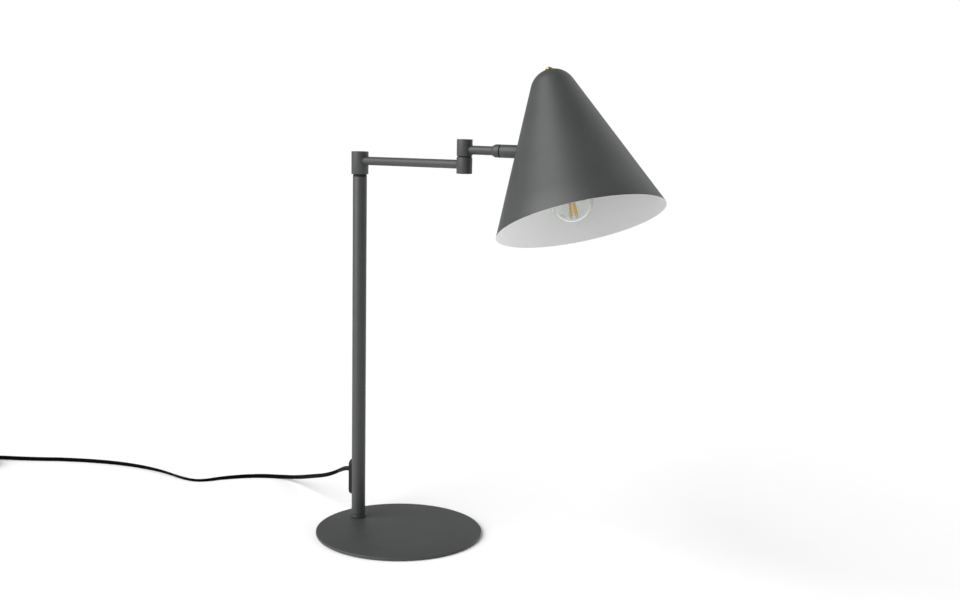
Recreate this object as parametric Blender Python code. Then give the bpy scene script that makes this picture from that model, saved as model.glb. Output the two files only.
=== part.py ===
"""Architect desk lamp: a round base, a pole, two swinging arms and a tilting cone shade.

Metres, +Z up. The origin is the centre of the base's underside, and +X runs from the pole
over the middle of the base, which is also the way the arms reach.
"""
import math

import bmesh
import bpy
from mathutils import Matrix, Vector

GAP = 0.0003                    # left between two pieces that touch
RUNNING = 0.0003                # clearance round a turning or a slid-in piece

# Base
PAD_THICK = 0.0007
BASE_RADIUS = 0.095
BASE_THICK = 0.003
BASE_BEVEL = 0.0004
PAD_INSET = 0.003
POLE_REACH = 0.0665             # pole's distance behind the middle of the base

# Pole
POLE_RADIUS = 0.008
POLE_WALL = 0.001
POLE_LENGTH = 0.3984
FOOT_RADIUS = 0.0087
FOOT_HEIGHT = 0.0034
FOOT_SPIGOT = 0.016
FOOT_SCREW_RADIUS = 0.003
FOOT_SCREW_HEAD = 0.0055

# Arms
ARM_RADIUS = 0.00475
ARM_WALL = 0.001
ARM_1_LENGTH = 0.1545           # pole axis to elbow axis
ARM_2_LENGTH = 0.118            # elbow axis to shade axis
ARM_1_YAW = math.radians(1.0)   # resting turn of arm 1 from +X
ARM_2_YAW = math.radians(12.4)  # resting turn of arm 2 from +X
ARM_OVER_COLLAR = 0.0164        # arm 1's axis above the bottom of the collar
ARM_1_UNDER_JOINT = 0.0090      # arm 1's axis below the top of the lower barrel
ARM_2_OVER_JOINT = 0.0065       # arm 2's axis above the bottom of the upper barrel

# Collar on the pole, and the two barrels of the elbow
COLLAR_RADIUS = 0.0097
COLLAR_HEIGHT = 0.0255
BARREL_RADIUS = 0.0084
BARREL_HEIGHT = 0.0175
FLOOR_THICK = 0.0024            # wall that a barrel turns on
CAP_THICK = 0.002
SHELL_WALL = 0.0016             # side wall of collar and barrels
CAP_LIP = 0.0009                # side wall round a cap
EDGE = 0.0004                   # small bevel on turned edges

# Friction pivots
WASHER_THICK = 0.0006
SPRING_THICK = 0.001
NUT_HEIGHT = 0.0028
NUT_RIM = 0.0025                # nut's corners beyond its stud
POLE_STUD_RADIUS = 0.0045
ARM_STUD_RADIUS = 0.0035
STUD_WALL = 0.0015

TUBE_CLEAR = ARM_STUD_RADIUS + NUT_RIM + GAP     # tube's end from the elbow's axis

# Swivel that carries the shade
SWIVEL_RADIUS = 0.00695
SWIVEL_START = 0.0341           # where the adapter's cone begins, from the elbow axis
SWIVEL_CONE = 0.0033
SWIVEL_SEAT = 0.0090            # adapter's whole length
SWIVEL_SOCKET = 0.0030          # depth of the arm in the adapter
SWIVEL_SETTLE = 0.0012          # spring washer clear of the shade's sloping wall

# Shade
SHADE_RADIUS = 0.0875
SHADE_HEIGHT = 0.1645
SHADE_WALL = 0.0008
SHADE_SLOPE = math.radians(23.5)  # between the shade's wall and its axis
SWIVEL_OVER_RIM = 0.0735        # swivel axis above the rim, along the shade's axis
SHADE_LEAN = math.radians(19.5)   # shade's axis from square to arm 2
SHADE_TILT = math.radians(12.3)   # resting turn about arm 2

# Lampholder and bulb, all hanging from the top of the shade
HOLDER_SAG = math.radians(3.5)  # lampholder hangs this much nearer to plumb than the shade
APEX_SCREW_RADIUS = 0.0014
APEX_NUT_RADIUS = 0.0041
APEX_NUT_HEIGHT = 0.0024
STEM_RADIUS = 0.005
HOLDER_RADIUS = 0.0135
HOLDER_LENGTH = 0.048
HOLDER_CAP = 0.014
BULB_RADIUS = 0.0225
BULB_LENGTH = 0.076
BULB_FROM_APEX = 0.138          # middle of the bulb's ball from the top of the shade
BULB_GLASS = 0.0007
BULB_CAP_RADIUS = 0.0069
BULB_CAP_LENGTH = 0.021
FILAMENT_RADIUS = 0.0009
FILAMENT_LENGTH = 0.026
FILAMENTS = 4
FILAMENT_SPREAD = 0.0045
FILAMENT_SPLAY = math.radians(6)

# Switch and cord outlet on the back of the pole
SWITCH_BOTTOM = 0.026           # above the base's top
SWITCH_HEIGHT = 0.043
SWITCH_WIDTH = 0.0126
SWITCH_PROUD = 0.0023
SWITCH_WALL = 0.0022
ROCKER_HEIGHT = 0.018
ROCKER_CENTRE = 0.0145          # above the bottom of the housing
ROCKER_ANGLE = math.radians(5)
OUTLET_BELOW_TOP = 0.0133

# Cord: flat two-core lead, drawn as a round tube of its width
CORD_RADIUS = 0.0026
LEAD_RADIUS = 0.0013
LEAD_JOIN = 0.0025              # where the leads meet in the elbow, above arm 1's axis
CORD_SPACING = 0.0125
GRIP_RADIUS = 0.0036
GRIP_TIP_RADIUS = 0.0029
COIL_CENTRE = Vector((-0.6017, -0.2045, 0))
COIL_MIDDLE = 0.0286            # radius at the middle of the turns
COIL_COLUMNS = 3
COIL_LAYERS = 2
TIE_THICK = 0.0006
TIE_WIDTH = 0.008
TIE_TURN = math.radians(300)
PLUG_LENGTH = 0.036
PLUG_WIDTH = 0.026
PLUG_THICK = 0.0137
PIN_RADIUS = 0.002
PIN_LENGTH = 0.019
PIN_SPACING = 0.0186

# The cord's route: out of the outlet, down behind the base, along the table and away
GRIP_ROUTE = [(-0.0890, -0.0002, 0.0583), (-0.0990, 0.0000, 0.0537)]
CORD_ROUTE = [
    (-0.0992, 0.0000, 0.0536), (-0.1133, 0.0020, 0.0470), (-0.1283, 0.0062, 0.0410),
    (-0.1455, 0.0123, 0.0350), (-0.1648, 0.0200, 0.0287), (-0.1848, 0.0282, 0.0222),
    (-0.2042, 0.0354, 0.0160), (-0.2229, 0.0419, 0.0105), (-0.2383, 0.0453, 0.0065),
    (-0.2513, 0.0464, 0.0040), (-0.2605, 0.0441, 0.0029), (-0.2747, 0.0358, 0.0026),
    (-0.2865, 0.0254, 0.0026), (-0.2965, 0.0136, 0.0026), (-0.3053, 0.0008, 0.0026),
    (-0.3129, -0.0128, 0.0026), (-0.3192, -0.0272, 0.0026), (-0.3302, -0.0380, 0.0026),
    (-0.3494, -0.0425, 0.0026), (-0.3742, -0.0432, 0.0026), (-0.3978, -0.0452, 0.0026),
    (-0.4270, -0.0508, 0.0026), (-0.4620, -0.0625, 0.0026), (-0.4980, -0.0810, 0.0026),
    (-0.5330, -0.1045, 0.0026), (-0.5620, -0.1290, 0.0027)]
COIL_ENTRY = math.radians(219.9)  # heading of the cord as it joins the coil, turning left
COIL_EXIT = math.radians(309.9)   # heading as it leaves
TAIL_LENGTH = 0.034

# Heights
BASE_BOTTOM = PAD_THICK + GAP
BASE_TOP = BASE_BOTTOM + BASE_THICK
POLE_BOTTOM = BASE_TOP + GAP + FOOT_HEIGHT + GAP
POLE_TOP = POLE_BOTTOM + POLE_LENGTH
FLANGE_THICK = 0.0012
COLLAR_BOTTOM = POLE_TOP + GAP + FLANGE_THICK + GAP + WASHER_THICK + GAP
ARM_1_HEIGHT = COLLAR_BOTTOM + ARM_OVER_COLLAR
ELBOW_LINE = ARM_1_HEIGHT + ARM_1_UNDER_JOINT    # top of the lower barrel
ELBOW_GAP = GAP + WASHER_THICK + GAP
UPPER_BOTTOM = ELBOW_LINE + ELBOW_GAP
ARM_2_HEIGHT = UPPER_BOTTOM + ARM_2_OVER_JOINT


def finish(name, colour, roughness, metallic=0.0, transmission=0.0):
    """A plain Principled material."""
    made = bpy.data.materials.new(name)
    made.use_nodes = True
    shader = made.node_tree.nodes["Principled BSDF"]
    shader.inputs["Base Color"].default_value = (*colour, 1)
    shader.inputs["Roughness"].default_value = roughness
    shader.inputs["Metallic"].default_value = metallic
    shader.inputs["Transmission Weight"].default_value = transmission
    return made


def empty(name, parent, place):
    """A pivot whose local frame carries the pieces of one moving body."""
    made = bpy.data.objects.new(name, None)
    bpy.context.scene.collection.objects.link(made)
    made.parent = parent
    made.matrix_basis = place
    return made


def placed(name, mesh, material, parent=None, place=Matrix()):
    """Links a mesh as the piece of that name."""
    made = bpy.data.objects.new(name, mesh)
    mesh.materials.append(material)
    bpy.context.scene.collection.objects.link(made)
    made.parent = parent
    made.matrix_basis = place
    return made


def meshed(name, shape, smooth=True):
    """Turns a bmesh into a mesh with outward faces, round sides smooth and edges sharp."""
    bmesh.ops.recalc_face_normals(shape, faces=shape.faces)
    mesh = bpy.data.meshes.new(name)
    shape.to_mesh(mesh)
    shape.free()
    if smooth:
        mesh.shade_smooth()
        mesh.set_sharp_from_angle(angle=math.radians(35))
    return mesh


def turned_mesh(name, outline, sides=24):
    """One closed solid: a (radius, height) outline spun about local Z. It may start and end
    on the axis, or be a closed loop clear of it."""
    shape = bmesh.new()
    corners = [shape.verts.new((radius, 0, height)) for radius, height in outline]
    pairs = list(zip(corners, corners[1:]))
    if outline[0][0] > 0:
        pairs.append((corners[-1], corners[0]))
    edges = [shape.edges.new(pair) for pair in pairs]
    bmesh.ops.spin(shape, geom=corners + edges, cent=(0, 0, 0), axis=(0, 0, 1),
                   angle=2 * math.pi, steps=sides, use_merge=True)
    bmesh.ops.remove_doubles(shape, verts=shape.verts, dist=1e-6)
    return meshed(name, shape)


def turned(name, outline, material, parent=None, place=Matrix(), sides=24):
    return placed(name, turned_mesh(name, outline, sides), material, parent, place)


def ring(inner, outer, low, high, edge=0.0):
    """Outline of a plain ring, its outer edges bevelled."""
    if edge == 0:
        return [(inner, low), (outer, low), (outer, high), (inner, high)]
    return [(inner, low), (outer - edge, low), (outer, low + edge),
            (outer, high - edge), (outer - edge, high), (inner, high)]


def disc(outer, low, high, edge=0.0):
    """Outline of a plain disc, its outer edges bevelled."""
    if edge == 0:
        return [(0, low), (outer, low), (outer, high), (0, high)]
    return [(0, low), (outer - edge, low), (outer, low + edge),
            (outer, high - edge), (outer - edge, high), (0, high)]


def cutter(name, mesh, parent=None, place=Matrix()):
    """A guide solid that only cuts."""
    made = bpy.data.objects.new(name, mesh)
    bpy.context.scene.collection.objects.link(made)
    made.parent = parent
    made.matrix_basis = place
    made.hide_render = True
    made.display_type = "WIRE"
    return made


def cut(piece, tool):
    """Takes a cutter's shape out of a piece."""
    step = piece.modifiers.new("cut_" + tool.name, "BOOLEAN")
    step.operation = "DIFFERENCE"
    step.solver = "EXACT"
    step.object = tool


def box_mesh(name, low, high):
    """A box between two corners."""
    shape = bmesh.new()
    bmesh.ops.create_cube(shape, size=1)
    for corner in shape.verts:
        corner.co = [low[k] if corner.co[k] < 0 else high[k] for k in range(3)]
    return meshed(name, shape, smooth=False)


def extruded_mesh(name, outline, depth, bevel=0.0):
    """A flat outline in local XY, raised by depth along Z, its two rims bevelled."""
    shape = bmesh.new()
    base = shape.faces.new([shape.verts.new((x, y, 0)) for x, y in outline])
    raised = bmesh.ops.extrude_face_region(shape, geom=[base])
    top = [item for item in raised["geom"] if isinstance(item, bmesh.types.BMVert)]
    bmesh.ops.translate(shape, verts=top, vec=(0, 0, depth))
    if bevel:
        rims = [edge for edge in shape.edges
                if abs(edge.verts[0].co.z - edge.verts[1].co.z) < 1e-7]
        bmesh.ops.bevel(shape, geom=rims, offset=bevel, segments=2, profile=0.5,
                        affect="EDGES")
    return meshed(name, shape)


def stadium(width, height, sides=8):
    """Outline of an oblong with round ends, upright along Y, centred."""
    radius = width / 2
    straight = height / 2 - radius
    ends = [(straight, 0.0), (-straight, math.pi)]
    return [(radius * math.cos(start + math.pi * k / sides),
             middle + radius * math.sin(start + math.pi * k / sides))
            for middle, start in ends for k in range(sides + 1)]


def through(points, steps):
    """A smooth curve through the given points, with that many steps from each to the next."""
    spots = [Vector(point) for point in points]
    spots = [2 * spots[0] - spots[1]] + spots + [2 * spots[-1] - spots[-2]]
    curve = []
    for a, b, c, d in zip(spots, spots[1:], spots[2:], spots[3:]):
        for k in range(steps):
            t = k / steps
            curve.append(0.5 * (2 * b + (c - a) * t + (2 * a - 5 * b + 4 * c - d) * t * t
                                + (3 * b - a - 3 * c + d) * t ** 3))
    return curve + [spots[-2]]


def smooth_route(points, spacing):
    """Points a set distance apart along a smooth curve through the given points."""
    dense = through(points, 24)
    total = sum((q - p).length for p, q in zip(dense, dense[1:]))
    count = max(2, round(total / spacing))
    wanted = [total * k / count for k in range(1, count)]
    route = [dense[0]]
    walked = 0.0
    for p, q in zip(dense, dense[1:]):
        step = (q - p).length
        while wanted and walked + step >= wanted[0]:
            route.append(p.lerp(q, (wanted.pop(0) - walked) / step))
        walked += step
    return route + [dense[-1]]


def tube(name, points, radius, material, parent=None, resolution=2):
    """A solid tube along a route, its ends capped. radius may be a list, one for a point."""
    widest = max(radius) if isinstance(radius, list) else radius
    line = bpy.data.curves.new(name, "CURVE")
    line.dimensions = "3D"
    line.bevel_depth = widest
    line.bevel_resolution = resolution
    line.use_fill_caps = True
    spline = line.splines.new("POLY")
    spline.points.add(len(points) - 1)
    for k, (spot, point) in enumerate(zip(spline.points, points)):
        spot.co = (*point, 1)
        if isinstance(radius, list):
            spot.radius = radius[k] / widest
    line.materials.append(material)
    made = bpy.data.objects.new(name, line)
    bpy.context.scene.collection.objects.link(made)
    made.parent = parent
    return made


def finishes():
    """Every finish that the lamp wears."""
    return {
        "coat": finish("powder_coat", (0.085, 0.088, 0.087), 0.55, 0.2),
        "white": finish("white_lining", (0.85, 0.85, 0.84), 0.5),
        "steel": finish("zinc_steel", (0.55, 0.55, 0.54), 0.35, 1.0),
        "brass": finish("brass", (0.70, 0.48, 0.20), 0.3, 1.0),
        "black": finish("black_plastic", (0.02, 0.02, 0.02), 0.45),
        "cord": finish("cord_pvc", (0.015, 0.015, 0.015), 0.5),
        "nylon": finish("nylon", (0.05, 0.05, 0.05), 0.5),
        "felt": finish("felt_pad", (0.03, 0.03, 0.03), 0.95),
        "glass": finish("clear_glass", (1, 1, 1), 0.02, 0.0, 1.0),
        "filament": finish("filament", (0.95, 0.65, 0.12), 0.6),
    }


def base(look):
    """Steel disc on a pad, with the pole's foot screwed down from below."""
    at_pole = Matrix.Translation((-POLE_REACH, 0, 0))
    turned("base_pad", disc(BASE_RADIUS - PAD_INSET, 0, PAD_THICK), look["felt"], sides=60)
    plate = turned("base_plate", disc(BASE_RADIUS, BASE_BOTTOM, BASE_TOP, BASE_BEVEL),
                   look["coat"], sides=80)
    shank = FOOT_SCREW_RADIUS + RUNNING
    head = FOOT_SCREW_HEAD + RUNNING
    sunk = head - shank
    over = 0.001
    hole = turned_mesh("foot_screw_hole", [
        (0, BASE_BOTTOM - over), (head, BASE_BOTTOM - over), (head, BASE_BOTTOM + GAP),
        (shank, BASE_BOTTOM + GAP + sunk), (shank, BASE_TOP + over), (0, BASE_TOP + over)])
    cut(plate, cutter("foot_screw_hole", hole, place=at_pole))

    foot_bottom = BASE_TOP + GAP
    foot_top = foot_bottom + FOOT_HEIGHT
    spigot = POLE_RADIUS - POLE_WALL - RUNNING
    thread_top = foot_top + FOOT_SPIGOT * 0.6
    turned("pole_foot", [
        (shank, foot_bottom), (FOOT_RADIUS, foot_bottom), (FOOT_RADIUS, foot_top - EDGE),
        (FOOT_RADIUS - EDGE, foot_top), (spigot, foot_top),
        (spigot, foot_top + FOOT_SPIGOT - EDGE), (spigot - EDGE, foot_top + FOOT_SPIGOT),
        (shank, foot_top + FOOT_SPIGOT)], look["steel"], place=at_pole)
    head_flat = BASE_BOTTOM + GAP
    turned("foot_screw", [
        (0, BASE_BOTTOM + EDGE / 2), (FOOT_SCREW_HEAD, BASE_BOTTOM + EDGE / 2),
        (FOOT_SCREW_HEAD, head_flat),
        (FOOT_SCREW_RADIUS, head_flat + FOOT_SCREW_HEAD - FOOT_SCREW_RADIUS),
        (FOOT_SCREW_RADIUS, thread_top), (0, thread_top)], look["steel"], place=at_pole)


def pole(look):
    """Pole tube with its foot flare, and the hollow stud that the collar turns on."""
    at_pole = Matrix.Translation((-POLE_REACH, 0, 0))
    bore = POLE_RADIUS - POLE_WALL
    flare_height = 0.009
    post = turned("pole_tube", [
        (bore, POLE_BOTTOM), (POLE_RADIUS + EDGE, POLE_BOTTOM),
        (POLE_RADIUS, POLE_BOTTOM + flare_height), (POLE_RADIUS, POLE_TOP),
        (bore, POLE_TOP)], look["coat"], place=at_pole, sides=32)

    slot_width = SWITCH_WIDTH - 2 * SWITCH_WALL
    slot = extruded_mesh("pole_slot", stadium(slot_width, SWITCH_HEIGHT - 2 * SWITCH_WALL),
                         POLE_RADIUS)
    cut(post, cutter("pole_slot", slot, place=switch_face(POLE_RADIUS / 2)))

    flange = POLE_TOP + GAP
    seat = flange + FLANGE_THICK
    floor = COLLAR_BOTTOM + FLOOR_THICK
    stud_top = floor + GAP + SPRING_THICK + GAP + NUT_HEIGHT + 2 * GAP
    hollow = POLE_STUD_RADIUS - STUD_WALL
    turned("pole_stud", [
        (hollow, POLE_TOP - 0.014), (bore - RUNNING, POLE_TOP - 0.014),
        (bore - RUNNING, flange), (POLE_RADIUS, flange), (POLE_RADIUS, seat),
        (POLE_STUD_RADIUS, seat), (POLE_STUD_RADIUS, stud_top), (hollow, stud_top)],
        look["steel"], place=at_pole)
    turned("pole_thrust_washer",
           ring(POLE_STUD_RADIUS + RUNNING, POLE_RADIUS - EDGE, seat + GAP,
                seat + GAP + WASHER_THICK), look["nylon"], place=at_pole)
    friction_pair("pole", POLE_STUD_RADIUS, floor, 1, look, None, at_pole)


def friction_pair(joint, stud, floor, way, look, parent, place):
    """The spring washer and the nut that clamp a pivot, stacked from floor along way."""
    inner = stud + RUNNING
    spring = floor + way * GAP
    nut = spring + way * (SPRING_THICK + GAP)
    spring_far = spring + way * SPRING_THICK
    nut_far = nut + way * NUT_HEIGHT
    turned(joint + "_spring_washer",
           ring(inner, stud + 0.002, min(spring, spring_far), max(spring, spring_far)),
           look["steel"], parent, place)
    nut_low, nut_high = min(nut, nut_far), max(nut, nut_far)
    hexagon = turned(joint + "_nut", disc(stud + NUT_RIM, nut_low, nut_high), look["steel"],
                     parent, place, sides=6)
    bore = turned_mesh(joint + "_nut_bore", disc(inner, nut_low - GAP, nut_high + GAP), 32)
    cut(hexagon, cutter(joint + "_nut_bore", bore, parent, place))


def switch_face(depth):
    """Frame on the back of the pole: local X along -Y, local Y up, local Z outwards (-X)."""
    middle = BASE_TOP + SWITCH_BOTTOM + SWITCH_HEIGHT / 2
    turn = Matrix(((0, 0, -1), (-1, 0, 0), (0, 1, 0))).to_4x4()
    return Matrix.Translation((-POLE_REACH - depth, 0, middle)) @ turn


def switch(look):
    """Moulded outlet and rocker switch, let into the back of the pole."""
    face = POLE_RADIUS + SWITCH_PROUD
    inner = 0.0048
    shell = placed("switch_housing",
                   extruded_mesh("switch_housing", stadium(SWITCH_WIDTH, SWITCH_HEIGHT),
                                 face - inner, bevel=0.0012),
                   look["black"], place=switch_face(inner))
    around = turned_mesh("pole_saddle", disc(POLE_RADIUS + GAP, 0, POLE_LENGTH / 2), 40)
    cut(shell, cutter("pole_saddle", around, place=Matrix.Translation((-POLE_REACH, 0, 0))))
    up = ROCKER_CENTRE - SWITCH_HEIGHT / 2
    slit = RUNNING + 0.0002
    half_width = (SWITCH_WIDTH - 2 * SWITCH_WALL) / 2 - 0.0006
    half_height = ROCKER_HEIGHT / 2
    well = box_mesh("rocker_well", (-half_width - slit, up - half_height - slit, -0.004),
                    (half_width + slit, up + half_height + slit, 0.004))
    cut(shell, cutter("rocker_well", well, place=switch_face(face)))

    hinge = empty("rocker_pivot", None, switch_face(face - 0.0015) @ Matrix.Translation(
        (0, up, 0)) @ Matrix.Rotation(ROCKER_ANGLE, 4, "X"))
    rise = half_height * math.tan(ROCKER_ANGLE)
    top = 0.0015
    side = [(-half_height, -0.0012), (half_height, -0.0012), (half_height, top + rise),
            (0, top), (-half_height, top + rise)]
    rocker = extruded_mesh("switch_rocker", side, 2 * half_width)
    rocker.transform(Matrix(((0, 0, 1), (1, 0, 0), (0, 1, 0))).to_4x4())
    rocker.transform(Matrix.Translation((-half_width, 0, 0)))
    placed("switch_rocker", rocker, look["black"], hinge)

    outlet = SWITCH_HEIGHT / 2 - OUTLET_BELOW_TOP
    start = switch_face(face + GAP) @ Vector((0, outlet, 0))
    route = smooth_route([start, start + Vector((-0.004, 0, 0)), *GRIP_ROUTE], 0.003)
    width = [GRIP_RADIUS] * 2 + [
        GRIP_RADIUS + (GRIP_TIP_RADIUS - GRIP_RADIUS) * k / (len(route) - 3)
        for k in range(len(route) - 2)]
    tube("cord_grip", route, width, look["black"], resolution=3)


def lead(name, points, look, parent):
    """A stretch of the inner flex, from pivot to pivot. Its end stretches are straight."""
    route = [Vector(points[0]), *through(points[1:-1], 3), Vector(points[-1])]
    tube(name, route, LEAD_RADIUS, look["cord"], parent, 1)


def pole_lead(look):
    """Inner flex from the outlet up the pole."""
    top = COLLAR_BOTTOM + FLOOR_THICK + GAP + SPRING_THICK + GAP + NUT_HEIGHT
    inside = -POLE_REACH + 0.001
    bottom = BASE_TOP + SWITCH_BOTTOM + SWITCH_HEIGHT - OUTLET_BELOW_TOP
    lead("pole_lead", [(inside, 0, bottom), (inside, 0, bottom + 0.04),
                       (-POLE_REACH, 0, POLE_TOP - 0.03), (-POLE_REACH, 0, top)], look, None)


def along_x(distance=0.0):
    """Frame whose local Z runs along the arm's X, starting that far out."""
    return Matrix.Translation((distance, 0, 0)) @ Matrix.Rotation(math.pi / 2, 4, "Y")


def cup(radius, bore, closed, open_end):
    """Outline of a barrel: a floor with a stud hole at closed, a cap's seat at open_end.
    Heights are along local Z, and closed may be the upper or the lower end."""
    way = 1 if open_end > closed else -1
    seat = radius - CAP_LIP
    inside = radius - SHELL_WALL
    ledge = open_end - way * (CAP_THICK + GAP)
    return [(bore, closed), (radius - EDGE, closed), (radius, closed + way * EDGE),
            (radius, open_end - way * EDGE), (radius - EDGE, open_end), (seat, open_end),
            (seat, ledge), (inside, ledge), (inside, closed + way * FLOOR_THICK),
            (bore, closed + way * FLOOR_THICK)]


def lid(radius, end, way):
    """Outline of the cap that fills a barrel's seat flush with its end."""
    outer = radius - CAP_LIP - RUNNING
    inner_face = end - way * CAP_THICK
    return disc(outer, min(end, inner_face), max(end, inner_face), EDGE / 2)


def arm_tube(name, start, end, parent, look):
    """A plain tube lying along the arm's X."""
    turned(name, ring(ARM_RADIUS - ARM_WALL, ARM_RADIUS, start, end), look["coat"], parent,
           along_x())


def arm_hole(name, parent, distance, reach):
    """Cutter for the hole that an arm tube enters."""
    hole = turned_mesh(name, disc(ARM_RADIUS + RUNNING, 0, reach))
    return cutter(name, hole, parent, along_x(distance))


def arm_1(look):
    """Collar, tube and the lower barrel of the elbow. Local Z = 0 is the tube's axis."""
    pivot = empty("arm_1_pivot", None, Matrix.Translation((-POLE_REACH, 0, ARM_1_HEIGHT))
                  @ Matrix.Rotation(ARM_1_YAW, 4, "Z"))
    low = -ARM_OVER_COLLAR
    high = low + COLLAR_HEIGHT
    collar = turned("arm_1_collar",
                    cup(COLLAR_RADIUS, POLE_STUD_RADIUS + RUNNING, low, high),
                    look["coat"], pivot, sides=32)
    start = math.sqrt((COLLAR_RADIUS - SHELL_WALL) ** 2 - ARM_RADIUS ** 2)
    cut(collar, arm_hole("collar_hole", pivot, start, COLLAR_RADIUS))
    turned("arm_1_collar_cap", lid(COLLAR_RADIUS, high, 1), look["coat"], pivot)
    arm_tube("arm_1_tube", start + GAP, ARM_1_LENGTH - TUBE_CLEAR, pivot, look)

    at_elbow = Matrix.Translation((ARM_1_LENGTH, 0, 0))
    top = ARM_1_UNDER_JOINT
    bottom = top - BARREL_HEIGHT
    barrel = turned("elbow_lower_barrel",
                    cup(BARREL_RADIUS, ARM_STUD_RADIUS + RUNNING, top, bottom),
                    look["coat"], pivot, at_elbow, 32)
    cut(barrel, arm_hole("lower_barrel_hole", pivot,
                         ARM_1_LENGTH - TUBE_CLEAR - BARREL_RADIUS + GAP, BARREL_RADIUS))
    turned("elbow_lower_cap", lid(BARREL_RADIUS, bottom, -1), look["coat"], pivot, at_elbow)
    turned("elbow_thrust_washer",
           ring(ARM_STUD_RADIUS + RUNNING, BARREL_RADIUS - 2 * EDGE, top + GAP,
                top + GAP + WASHER_THICK), look["nylon"], pivot, at_elbow)
    join = low + FLOOR_THICK + GAP + SPRING_THICK + GAP + NUT_HEIGHT + GAP
    lead("arm_1_lead", [(0, 0, join + GAP), (0, 0, join + 0.003), (0.0015, 0, -0.003),
                        (0.006, 0, -0.001), (0.014, 0, 0), (ARM_1_LENGTH - 0.014, 0, -0.001),
                        (ARM_1_LENGTH - 0.004, 0, -0.0028),
                        (ARM_1_LENGTH - 0.0008, 0, -0.0014), (ARM_1_LENGTH, 0, 0.0006),
                        (ARM_1_LENGTH, 0, LEAD_JOIN)], look, pivot)
    return pivot


def arm_2(look, carrier):
    """Upper barrel, the stud through both barrels, tube and the fixed half of the swivel.
    Local Z = 0 is the tube's axis."""
    rise = ARM_2_HEIGHT - ARM_1_HEIGHT
    pivot = empty("arm_2_pivot", carrier, Matrix.Translation((ARM_1_LENGTH, 0, rise))
                  @ Matrix.Rotation(ARM_2_YAW - ARM_1_YAW, 4, "Z"))
    low = UPPER_BOTTOM - ARM_2_HEIGHT
    high = low + BARREL_HEIGHT
    barrel = turned("elbow_upper_barrel",
                    cup(BARREL_RADIUS, ARM_STUD_RADIUS + RUNNING, low, high), look["coat"],
                    pivot, sides=32)
    cut(barrel, arm_hole("upper_barrel_hole", pivot, TUBE_CLEAR - GAP, BARREL_RADIUS))
    turned("elbow_upper_cap", lid(BARREL_RADIUS, high, 1), look["coat"], pivot)

    lower_floor = ELBOW_LINE - FLOOR_THICK - ARM_2_HEIGHT
    stud_bottom = lower_floor - GAP - SPRING_THICK - GAP - NUT_HEIGHT - GAP
    hollow = ARM_STUD_RADIUS - STUD_WALL
    head = low + FLOOR_THICK + GAP
    head_top = head + 0.0012
    turned("elbow_stud", [
        (hollow, stud_bottom), (ARM_STUD_RADIUS, stud_bottom), (ARM_STUD_RADIUS, head),
        (ARM_STUD_RADIUS + 0.0015, head), (ARM_STUD_RADIUS + 0.0015, head_top),
        (hollow, head_top)], look["steel"], pivot)
    friction_pair("elbow", ARM_STUD_RADIUS, lower_floor, -1, look, pivot, Matrix())

    socket = SWIVEL_START + SWIVEL_SOCKET
    arm_tube("arm_2_tube", TUBE_CLEAR, socket - GAP, pivot, look)
    seat = SWIVEL_START + SWIVEL_SEAT
    turned("swivel_adapter", [
        (ARM_STUD_RADIUS + RUNNING, socket), (ARM_RADIUS + RUNNING, socket),
        (ARM_RADIUS + RUNNING, SWIVEL_START), (ARM_RADIUS + 2 * EDGE, SWIVEL_START),
        (SWIVEL_RADIUS - EDGE, SWIVEL_START + SWIVEL_CONE - EDGE),
        (SWIVEL_RADIUS, SWIVEL_START + SWIVEL_CONE + EDGE), (SWIVEL_RADIUS, seat - EDGE),
        (SWIVEL_RADIUS - EDGE, seat), (ARM_STUD_RADIUS + RUNNING, seat)],
        look["coat"], pivot, along_x())
    turned("swivel_thrust_washer",
           ring(ARM_STUD_RADIUS + RUNNING, SWIVEL_RADIUS - 2 * EDGE, seat + GAP,
                seat + GAP + WASHER_THICK), look["nylon"], pivot, along_x())
    floor = wall_inside() + SWIVEL_SETTLE
    stud_end = floor + GAP + SPRING_THICK + GAP + NUT_HEIGHT + 2 * GAP
    turned("swivel_stud", ring(hollow, ARM_STUD_RADIUS, socket + GAP, stud_end, EDGE),
           look["steel"], pivot, along_x())
    friction_pair("swivel", ARM_STUD_RADIUS, floor, 1, look, pivot, along_x())

    bottom = ARM_1_HEIGHT + LEAD_JOIN + GAP - ARM_2_HEIGHT
    lead("arm_2_lead", [(0, 0, bottom), (0, 0, bottom + 0.004), (0, 0, -0.0036),
                        (0.0006, 0, -0.0018), (0.0022, 0, -0.0005), (0.006, 0, 0),
                        (0.012, 0, 0), (SWIVEL_START - 0.004, 0, 0),
                        (stud_end + 0.002, 0, 0)], look, pivot)
    return pivot, stud_end + 0.002


def shade_axis():
    """The shade's own frame in arm 2's: local Z up its axis, zero where the swivel's axis
    crosses it."""
    return (Matrix.Translation((ARM_2_LENGTH, 0, 0)) @ Matrix.Rotation(-SHADE_TILT, 4, "X")
            @ Matrix.Rotation(-SHADE_LEAN, 4, "Y"))


def shade_radius(height):
    """The cone's outer radius at a height above the swivel's axis."""
    return SHADE_RADIUS - (height + SWIVEL_OVER_RIM) * math.tan(SHADE_SLOPE)


def wall_distance(radius_at_axis):
    """How far out the swivel's axis meets a cone of that radius at the crossing."""
    return ARM_2_LENGTH - radius_at_axis / (
        math.cos(SHADE_LEAN) + math.sin(SHADE_LEAN) * math.tan(SHADE_SLOPE))


def wall_inside():
    """Where the swivel's axis comes through the shade's wall."""
    return wall_distance(shade_radius(0) - SHADE_WALL / math.cos(SHADE_SLOPE))


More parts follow.
